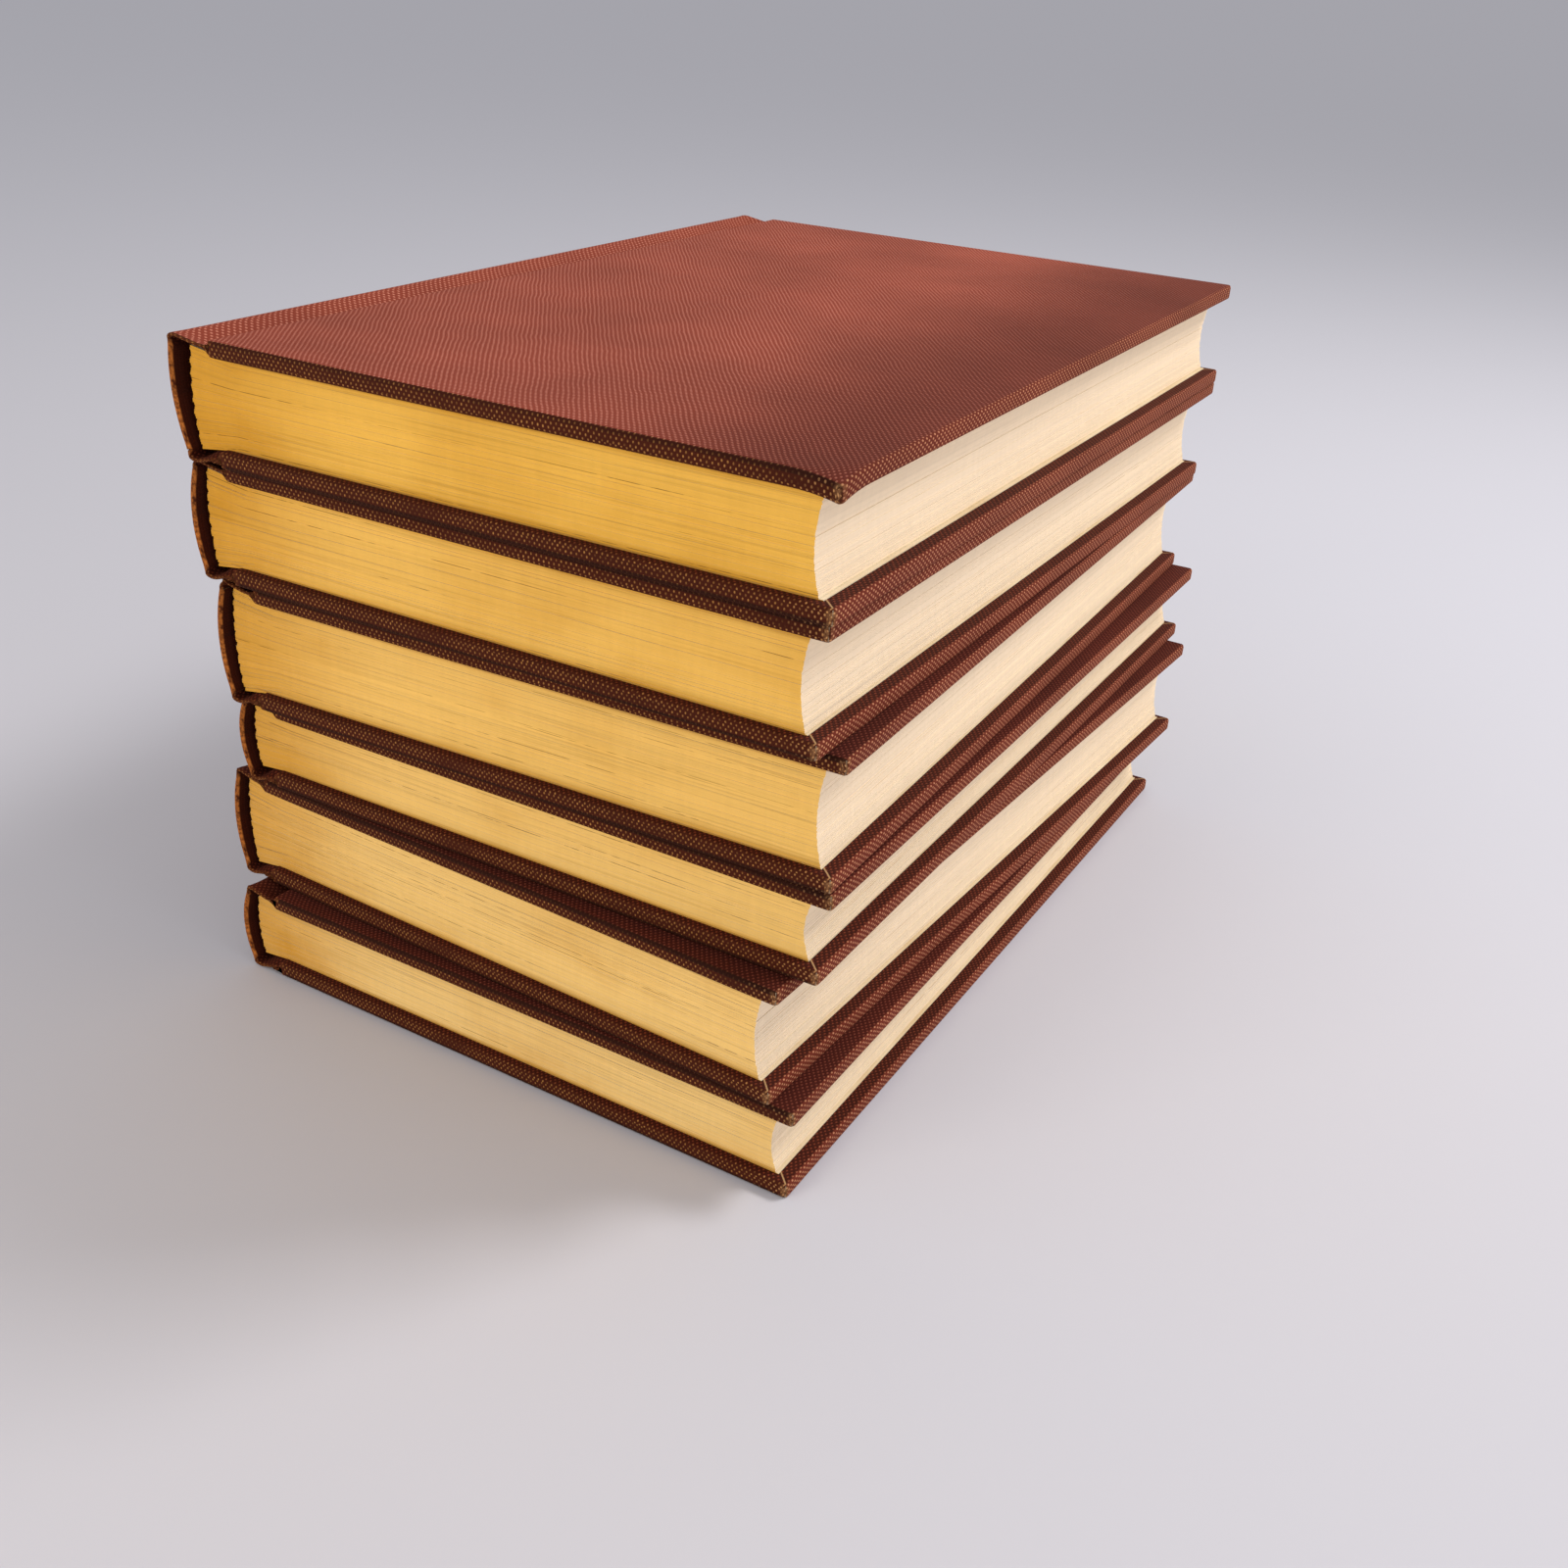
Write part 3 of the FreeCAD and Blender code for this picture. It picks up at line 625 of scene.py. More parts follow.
@dataclass(frozen=True)
class BookCloth:
    """Starched cotton book cloth in plain weave, dyed maroon and rubbed at its edges.

    The filler between the threads leaves it matt, with the thread tops a little paler. The cover
    that lay in the light has bleached to brick, lighter towards the spine as painted light; the other
    covers keep a darker dye, darker still as painted shade between the stacked books. Where boards
    are handled the dye is gone from the thread tops, and at the very corners from whole threads.
    """

    # The unbleached dye, made darker as painted shade between the stacked books.
    kept_shaded_dark: str = "47180F"
    kept_shaded_light: str = "7A3D2E"
    # Bleached brick, shown most towards the spine as painted light.
    faded_lit_dark: str = "90402F"
    faded_lit_light: str = "CE806C"
    end_dark: str = "421809"
    end_light: str = "A8763F"
    # Painted shade in the groove where two books' boards touch.
    contact_shade: str = "280D05"
    # Painted shade: a flat dark colour for the inside of the spine's hollow.
    hollow: str = "3A1307"
    fore_dark: str = "66281A"
    fore_light: str = "BA7C5C"
    inside_dark: str = "3C140A"
    inside_light: str = "743522"
    back_dark: str = "6E3212"
    back_light: str = "B86E30"
    worn: str = "CF9A68"
    mitre: str = "B08C62"
    sheen: str = "C9806A"
    # Real threads lie about 0.45 mm apart. They are drawn coarser, as the photo shows them.
    warp_mm: float = 0.62
    weft_mm: float = 0.84
    thread_height_mm: float = 0.12
    roughness: float = 0.85

    def build(self) -> bpy.types.Material:
        """Make the material on the weave map, whose unit is a millimetre.

        Returns:
            The finished material.
        """
        material = bpy.data.materials.new("book_cloth_maroon")
        material.use_nodes = True
        tree = material.node_tree
        tree.nodes.clear()
        weave = add(tree, "ShaderNodeUVMap", {"uv_map": "weave"})
        near = {
            name: add(tree, "ShaderNodeAttribute", {"attribute_name": name}).outputs["Fac"]
            for name in ("from_fore", "from_end", "from_flat", "inside", "on_spine", "faded_and_lit")
        }
        crossing = self.crossing(tree, weave)
        tops = add(tree, RANGE, SMOOTH, {0: crossing, 1: 0.2, 2: 0.8})
        fleck = add(tree, NOISE, {}, {"Vector": weave, "Scale": 0.9, "Detail": 4.0})
        patch = add(tree, NOISE, {}, {"Vector": weave, "Scale": 0.06, "Detail": 3.0})
        at_fore = add(tree, RANGE, SMOOTH, {0: near["from_fore"], 1: 0.35, 2: 0.75, 3: 1.0, 4: 0.0})
        at_end = add(tree, RANGE, SMOOTH, {0: near["from_end"], 1: 0.35, 2: 0.7, 3: 1.0, 4: 0.0})
        fore = add(tree, MIX, COLOURS, {0: tops, 6: linear(self.fore_dark), 7: linear(self.fore_light)})
        colour = add(tree, MIX, COLOURS, {0: at_fore, 6: self.faces(tree, near, tops, patch), 7: fore})
        ends = self.ends(tree, near, crossing, fleck, patch)
        colour = add(tree, MIX, COLOURS, {0: at_end, 6: colour, 7: ends})
        colour = self.worn_corner(tree, near, (at_fore, at_end), (fleck, tops), colour)
        cloud = add(tree, NOISE, {}, {"Vector": weave, "Scale": 0.03, "Detail": 7.0})
        tone = add(tree, RANGE, {}, {0: cloud, 1: 0.3, 2: 0.7, 3: 0.88, 4: 1.12})
        shade = add(tree, "ShaderNodeHueSaturation", {}, {"Value": tone, "Color": colour})
        crown = add(tree, MATH, SIZE, {0: crossing})
        bump = add(tree, "ShaderNodeBump", {}, {
            "Strength": 0.6, "Distance": self.thread_height_mm * MM, "Height": crown,
        })
        shader = add(tree, "ShaderNodeBsdfPrincipled", {}, {
            "Base Color": shade, "Roughness": self.roughness, "Normal": bump,
            "Specular IOR Level": 0.12, "Sheen Weight": 0.05, "Sheen Roughness": 0.45,
            "Sheen Tint": linear(self.sheen),
        })
        add(tree, "ShaderNodeOutputMaterial", {}, {0: shader})
        return material

    def crossing(self, tree: bpy.types.NodeTree, weave: bpy.types.Node) -> bpy.types.Node:
        """Make the height of the plain weave.

        Args:
            tree: The material's tree.
            weave: The weave map.

        Returns:
            A value above zero where a warp thread lies on top, and below zero for a weft.
        """
        wander = add(tree, NOISE, {}, {"Vector": weave, "Scale": 0.07, "Detail": 3.0})
        shift = add(tree, VECTOR, {"operation": "SCALE"}, {0: wander.outputs["Color"], "Scale": 1.3})
        woven = add(tree, VECTOR, PLUS, {0: weave, 1: shift})
        threads = (math.pi / self.warp_mm, math.pi / self.weft_mm, 0.0)
        counted = add(tree, VECTOR, TIMES, {0: woven, 1: threads})
        waves = add(tree, VECTOR, {"operation": "SINE"}, {0: counted})
        axes = add(tree, "ShaderNodeSeparateXYZ", {}, {0: waves}).outputs
        return add(tree, MATH, TIMES, {0: axes[0], 1: axes[1]})

    def faces(self, tree: bpy.types.NodeTree, near: dict[str, bpy.types.NodeSocket],
              tops: bpy.types.Node, patch: bpy.types.Node) -> bpy.types.Node:
        """Colour the broad faces: covers, spine and what is turned in.

        Args:
            tree: The material's tree.
            near: Distances and zones of the surface.
            tops: Share of the thread tops.
            patch: Broad noise.

        Returns:
            The colour.
        """
        kept_shaded = add(tree, MIX, COLOURS, {0: tops, 6: linear(self.kept_shaded_dark), 7: linear(self.kept_shaded_light)})
        faded_and_lit = add(tree, MIX, COLOURS, {0: tops, 6: linear(self.faded_lit_dark), 7: linear(self.faded_lit_light)})
        # Bleached share with painted light on the top cover; elsewhere the darker dye, partly painted shade.
        colour = add(tree, MIX, COLOURS, {0: near["faded_and_lit"], 6: kept_shaded, 7: faded_and_lit})
        back = add(tree, MIX, COLOURS, {0: tops, 6: linear(self.back_dark), 7: linear(self.back_light)})
        browned = add(tree, RANGE, SMOOTH, {0: patch, 1: 0.1, 2: 1.1})
        browned = add(tree, MATH, TIMES, {0: near["on_spine"], 1: browned})
        colour = add(tree, MIX, COLOURS, {0: browned, 6: colour, 7: back})
        turned = add(tree, MIX, COLOURS, {0: tops, 6: linear(self.inside_dark), 7: linear(self.inside_light)})
        # The spine's inside takes painted shade, the flat hollow colour.
        turned = add(tree, MIX, COLOURS, {0: near["on_spine"], 6: turned, 7: linear(self.hollow)})
        fold = self.mitre_line(tree, near)
        turned = add(tree, MIX, COLOURS, {0: fold, 6: turned, 7: linear(self.mitre)})
        return add(tree, MIX, COLOURS, {0: near["inside"], 6: colour, 7: turned})

    def ends(self, tree: bpy.types.NodeTree, near: dict[str, bpy.types.NodeSocket],
             crossing: bpy.types.Node, fleck: bpy.types.Node, patch: bpy.types.Node) -> bpy.types.Node:
        """Colour the narrow faces at head and tail: dark cloth with rubbed dots, with painted shade where the
        books touch.

        Args:
            tree: The material's tree.
            near: Distances and zones of the surface.
            crossing: Height of the weave.
            fleck: Fine noise.
            patch: Broad noise.

        Returns:
            The colour.
        """
        dots = add(tree, RANGE, SMOOTH, {0: crossing, 1: 0.3, 2: 0.9})
        broadly = add(tree, RANGE, SMOOTH, {0: patch, 1: 0.2, 2: 0.55})
        finely = add(tree, RANGE, SMOOTH, {0: fleck, 1: 0.2, 2: 0.68})
        lit = add(tree, MATH, TIMES, {0: add(tree, MATH, TIMES, {0: dots, 1: broadly}), 1: finely})
        ends = add(tree, MIX, COLOURS, {0: lit, 6: linear(self.end_dark), 7: linear(self.end_light)})
        # Painted shade along the contacts, weaker on the top cover, which has nothing above it.
        covered = add(tree, RANGE, {}, {0: near["faded_and_lit"], 3: 0.88, 4: 0.3})
        at_contact = add(tree, RANGE, SMOOTH, {0: near["from_flat"], 1: 0.2, 2: 0.95, 3: 1.0, 4: 0.0})
        at_contact = add(tree, MATH, TIMES, {0: at_contact, 1: covered})
        ends = add(tree, MIX, COLOURS, {0: at_contact, 6: ends, 7: linear(self.contact_shade)})
        rubbed = add(tree, RANGE, SMOOTH, {0: fleck, 1: 0.3, 2: 0.7})
        rim = add(tree, MIX, COLOURS, {0: rubbed, 6: linear(self.end_dark), 7: linear(self.back_light)})
        return add(tree, MIX, COLOURS, {0: near["on_spine"], 6: ends, 7: rim})

    def mitre_line(self, tree: bpy.types.NodeTree,
                   near: dict[str, bpy.types.NodeSocket]) -> bpy.types.Node:
        """Draw the folded line that runs in from a corner, where the two turn-ins meet.

        Args:
            tree: The material's tree.
            near: Distances from the fore-edge and from the end.

        Returns:
            Share of the line.
        """
        gap = add(tree, MATH, MINUS, {0: near["from_fore"], 1: near["from_end"]})
        gap = add(tree, MATH, SIZE, {0: gap})
        line = add(tree, RANGE, SMOOTH, {0: gap, 1: 0.12, 2: 0.35, 3: 1.0, 4: 0.0})
        turned_in = add(tree, RANGE, SMOOTH, {0: near["from_end"], 1: 15.0, 2: 16.0, 3: 1.0, 4: 0.0})
        return add(tree, MATH, TIMES, {0: line, 1: turned_in})

    def worn_corner(self, tree: bpy.types.NodeTree, near: dict[str, bpy.types.NodeSocket],
                    edges: tuple[bpy.types.Node, bpy.types.Node],
                    threads: tuple[bpy.types.Node, bpy.types.Node],
                    colour: bpy.types.Node) -> bpy.types.Node:
        """Bare the pale threads at the very corner, thinning out along both edges.

        Args:
            tree: The material's tree.
            near: Distances from the fore-edge and from the end.
            edges: Shares of the fore-edge's and the end's narrow faces.
            threads: Fine noise, and the share of the thread tops.
            colour: The unworn colour.

        Returns:
            The colour with its wear.
        """
        fleck, tops = threads
        rubbed = add(tree, RANGE, SMOOTH, {0: fleck, 1: 0.36, 2: 0.62})
        both = add(tree, MATH, PLUS, {0: near["from_fore"], 1: near["from_end"]})
        bare = add(tree, RANGE, SMOOTH, {0: both, 1: 0.2, 2: 2.4, 3: 1.0, 4: 0.0})
        bare = add(tree, MATH, TIMES, {0: bare, 1: add(tree, RANGE, SMOOTH, {0: rubbed, 1: -0.2, 2: 1.1})})
        bare = add(tree, MATH, TIMES, {0: bare, 1: add(tree, RANGE, SMOOTH, {0: tops, 1: -0.6, 2: 0.9})})
        thin = add(tree, RANGE, SMOOTH, {0: both, 1: 1.0, 2: 12.0, 3: 1.0, 4: 0.0})
        thin = add(tree, MATH, TIMES, {0: thin, 1: tops})
        thin = add(tree, MATH, TIMES, {0: thin, 1: add(tree, RANGE, SMOOTH, {0: rubbed, 1: 0.0, 2: 1.8})})
        share = add(tree, MATH, LARGER, {0: bare, 1: thin})
        rim = add(tree, MATH, LARGER, {0: edges[0], 1: edges[1]})
        shown = add(tree, MATH, TIMES, {0: add(tree, MATH, TIMES, {0: share, 1: rim}), 1: 0.8})
        return add(tree, MIX, COLOURS, {0: shown, 6: colour, 7: linear(self.worn)})


@dataclass(frozen=True)
class TrimmedLeaves:
    """Book paper, guillotined on three sides: cream where clean, ochre where dust and light toned it;
    the heads' ochre is partly painted warm light, and deeper by the spine partly as painted shade.

    The trimmed stack is matt, with fine lines between the leaves and a few long, broken gaps.
    """

    fore: str = "F4DDC0"
    # Heads: toning, partly painted warm light; head_deep is partly painted shade by the spine.
    head: str = "F2CC82"
    head_toned: str = "EDB950"
    head_deep: str = "C98E22"
    gap_fore: str = "B8966C"
    gap_head: str = "5A350A"
    flat: str = "EBDCC0"
    roughness: float = 0.9
    leaf_depth_mm: float = 0.08

    def build(self) -> bpy.types.Material:
        """Make the material on the block's own place attribute, so its lines follow the leaves.

        Returns:
            The finished material.
        """
        material = bpy.data.materials.new("trimmed_leaves")
        material.use_nodes = True
        tree = material.node_tree
        tree.nodes.clear()
        known = {
            name: add(tree, "ShaderNodeAttribute", {"attribute_name": name}).outputs[output]
            for name, output in (("in_book", "Vector"), ("facing", "Vector"), ("bundle_tone", "Fac"),
                                 ("toning", "Fac"), ("from_cover", "Fac"), ("ply", "Fac"))
        }
        axes = add(tree, "ShaderNodeSeparateXYZ", {}, {0: known["facing"]}).outputs
        at_end = add(tree, MATH, SIZE, {0: axes[1]})
        on_face = add(tree, MATH, SIZE, {0: axes[2]})
        # Waves for each metre, drawn out along the leaves. A leaf is 0.1 mm; the lines are coarser to show.
        drawn = {
            name: add(tree, NOISE, {}, {
                "Vector": add(tree, VECTOR, TIMES, {0: known["in_book"], 1: scale}),
                "Scale": 1.0, "Detail": detail,
            })
            for name, scale, detail in (
                ("fine", (22.0, 22.0, 2600.0), 4.0), ("broad", (9.0, 9.0, 420.0), 3.0),
                ("cloud", (30.0, 30.0, 45.0), 4.0), ("scuffs", (750.0, 750.0, 90.0), 2.0),
            )
        }
        gaps = self.gaps(tree, known)
        colour = add(tree, MIX, COLOURS, {
            0: at_end, 6: linear(self.fore), 7: self.head_colour(tree, known, drawn["cloud"]),
        })
        colour = add(tree, MIX, COLOURS, {0: on_face, 6: colour, 7: linear(self.flat)})
        line = add(tree, MIX, COLOURS, {0: at_end, 6: linear(self.gap_fore), 7: linear(self.gap_head)})
        strands = add(tree, RANGE, SMOOTH, {0: drawn["fine"], 1: 0.52, 2: 0.72})
        strands = add(tree, MATH, TIMES, {0: strands, 1: add(tree, RANGE, {}, {0: at_end, 3: 0.1, 4: 0.2})})
        strength = add(tree, RANGE, {}, {0: at_end, 3: 0.35, 4: 0.95})
        dark = add(tree, MATH, LARGER, {0: strands, 1: add(tree, MATH, TIMES, {0: gaps, 1: strength})})
        colour = add(tree, MIX, COLOURS, {0: dark, 6: colour, 7: line})
        level = add(tree, MATH, TIMES_PLUS, {0: known["bundle_tone"], 1: 0.05, 2: 0.955})
        swell = add(tree, RANGE, {}, {0: drawn["broad"], 1: 0.3, 2: 0.7, 3: 0.965, 4: 1.03})
        scuffed = add(tree, RANGE, {}, {0: drawn["scuffs"], 1: 0.35, 2: 0.7, 3: 0.985, 4: 1.02})
        value = add(tree, MATH, TIMES, {0: add(tree, MATH, TIMES, {0: level, 1: swell}), 1: scuffed})
        shade = add(tree, "ShaderNodeHueSaturation", {}, {"Value": value, "Color": colour})
        height = add(tree, MATH, MINUS, {0: drawn["fine"], 1: gaps})
        bump = add(tree, "ShaderNodeBump", {}, {
            "Strength": 0.45, "Distance": self.leaf_depth_mm * MM, "Height": height,
        })
        shader = add(tree, "ShaderNodeBsdfPrincipled", {}, {
            "Base Color": shade, "Roughness": self.roughness, "Normal": bump, "Specular IOR Level": 0.25,
        })
        add(tree, "ShaderNodeOutputMaterial", {}, {0: shader})
        return material

    def gaps(self, tree: bpy.types.NodeTree, known: dict[str, bpy.types.NodeSocket]) -> bpy.types.Node:
        """Draw the long, broken gaps along the edges of some bundles.

        Args:
            tree: The material's tree.
            known: Attributes of the leaves.

        Returns:
            Share of the gaps.
        """
        along = add(tree, "ShaderNodeSeparateXYZ", {}, {0: known["in_book"]}).outputs
        own = add(tree, MATH, TIMES, {0: known["bundle_tone"], 1: 900.0})
        own_line = add(tree, "ShaderNodeCombineXYZ", {}, {0: along[0], 1: along[1], 2: own})
        long_scale = add(tree, VECTOR, TIMES, {0: own_line, 1: (16.0, 16.0, 1.0)})
        apart = add(tree, NOISE, {}, {"Vector": long_scale, "Scale": 1.0, "Detail": 2.0})
        short_scale = add(tree, VECTOR, TIMES, {0: own_line, 1: (210.0, 210.0, 1.0)})
        dashes = add(tree, NOISE, {}, {"Vector": short_scale, "Scale": 1.0, "Detail": 3.0})
        at_edge = add(tree, RANGE, SMOOTH, {0: known["ply"], 1: 0.16, 2: 0.38})
        some = add(tree, RANGE, SMOOTH, {0: known["bundle_tone"], 1: 0.62, 2: 0.82})
        apart = add(tree, RANGE, SMOOTH, {0: apart, 1: 0.49, 2: 0.6})
        dashes = add(tree, RANGE, SMOOTH, {0: dashes, 1: 0.38, 2: 0.54})
        broken = add(tree, MATH, TIMES, {0: apart, 1: dashes})
        return add(tree, MATH, TIMES, {0: add(tree, MATH, TIMES, {0: at_edge, 1: some}), 1: broken})

    def head_colour(self, tree: bpy.types.NodeTree, known: dict[str, bpy.types.NodeSocket],
                    cloud: bpy.types.Node) -> bpy.types.Node:
        """Colour the heads: toned, deeper by the back as toning and painted shade, deeper by the covers and
        in clouds.

        Args:
            tree: The material's tree.
            known: Attributes of the leaves.
            cloud: Broad noise.

        Returns:
            The colour.
        """
        along = add(tree, "ShaderNodeSeparateXYZ", {}, {0: known["in_book"]}).outputs
        # Deeper towards the spine: toning, and painted shade in the hollow by the back.
        by_back = add(tree, RANGE, SMOOTH, {0: along[0], 1: -0.086, 2: -0.035, 3: 1.0, 4: 0.0})
        by_back = add(tree, MATH, TIMES, {0: by_back, 1: 0.75})
        by_cover = add(tree, RANGE, SMOOTH, {0: known["from_cover"], 1: 0.0, 2: 0.3, 3: 1.0, 4: 0.0})
        by_cover = add(tree, MATH, TIMES, {0: by_cover, 1: 0.5})
        deep = add(tree, MATH, LARGER, {0: by_back, 1: by_cover})
        clouds = add(tree, RANGE, SMOOTH, {0: cloud, 1: 0.45, 2: 0.75})
        deep = add(tree, MATH, {**TIMES_PLUS, "use_clamp": True}, {0: clouds, 1: 0.3, 2: deep})
        head = add(tree, MIX, COLOURS, {0: known["toning"], 6: linear(self.head), 7: linear(self.head_toned)})
        return add(tree, MIX, COLOURS, {0: deep, 6: head, 7: linear(self.head_deep)})


@dataclass(frozen=True)
class PlainSheet:
    """A wove paper, board or lining surface: matt, with soft clouds and short fibres."""

    name: str
    light: str
    dark: str
    cut: str | None = None
    cloud_mm: float = 18.0
    fibre_mm: float = 0.5
    roughness: float = 0.9
    fibre_height_mm: float = 0.05

    def build(self) -> bpy.types.Material:
        """Make the material on Object coordinates.

        Returns:
            The finished material.
        """
        material = bpy.data.materials.new(self.name)
        material.use_nodes = True
        tree = material.node_tree
        tree.nodes.clear()
        place = add(tree, "ShaderNodeTexCoord").outputs
        cloud_scale, fibre_scale = 1 / (self.cloud_mm * MM), 1 / (self.fibre_mm * MM)
        cloud = add(tree, NOISE, {}, {"Vector": place["Object"], "Scale": cloud_scale, "Detail": 5.0})
        fibre = add(tree, NOISE, {}, {"Vector": place["Object"], "Scale": fibre_scale, "Detail": 4.0})
        share = add(tree, MATH, TIMES_PLUS, {0: fibre, 1: 0.35, 2: cloud})
        spread = add(tree, RANGE, {}, {0: share, 1: 0.4, 2: 0.95})
        colour = add(tree, MIX, COLOURS, {0: spread, 6: linear(self.dark), 7: linear(self.light)})
        if self.cut:
            across = add(tree, "ShaderNodeSeparateXYZ", {}, {0: place["Normal"]}).outputs[1]
            at_end = add(tree, MATH, SIZE, {0: across})
            at_end = add(tree, RANGE, SMOOTH, {0: at_end, 1: 0.4, 2: 0.8})
            colour = add(tree, MIX, COLOURS, {0: at_end, 6: colour, 7: linear(self.cut)})
        bump = add(tree, "ShaderNodeBump", {}, {
            "Strength": 0.3, "Distance": self.fibre_height_mm * MM, "Height": fibre,
        })
        shader = add(tree, "ShaderNodeBsdfPrincipled", {}, {
            "Base Color": colour, "Roughness": self.roughness, "Normal": bump,
        })
        add(tree, "ShaderNodeOutputMaterial", {}, {0: shader})
        return material


@dataclass
class Finishes:
    """Every material of the object, made once."""

    cloth: bpy.types.Material
    leaves: bpy.types.Material
    endpaper: bpy.types.Material
    greyboard: bpy.types.Material
    spine_card: bpy.types.Material
    mull: bpy.types.Material

    @classmethod
    def make(cls) -> "Finishes":
        """Build all the finishes.

        Returns:
            The finishes.
        """
        return cls(
            cloth=BookCloth().build(),
            leaves=TrimmedLeaves().build(),
            # The endpaper's cut edges are toned like the heads, and darker as painted shade between block and
            # board.
            endpaper=PlainSheet("endpaper_toned", "EFE0C4", "D8BF94", "B98424").build(),
            greyboard=PlainSheet("greyboard", "9A8A74", "7C6C58", cloud_mm=8.0).build(),
            spine_card=PlainSheet("spine_card", "6E5436", "4E3820", cloud_mm=10.0).build(),
            mull=PlainSheet("mull_cloth", "A88C5C", "6E5228", cloud_mm=3.0, fibre_mm=0.8).build(),
        )


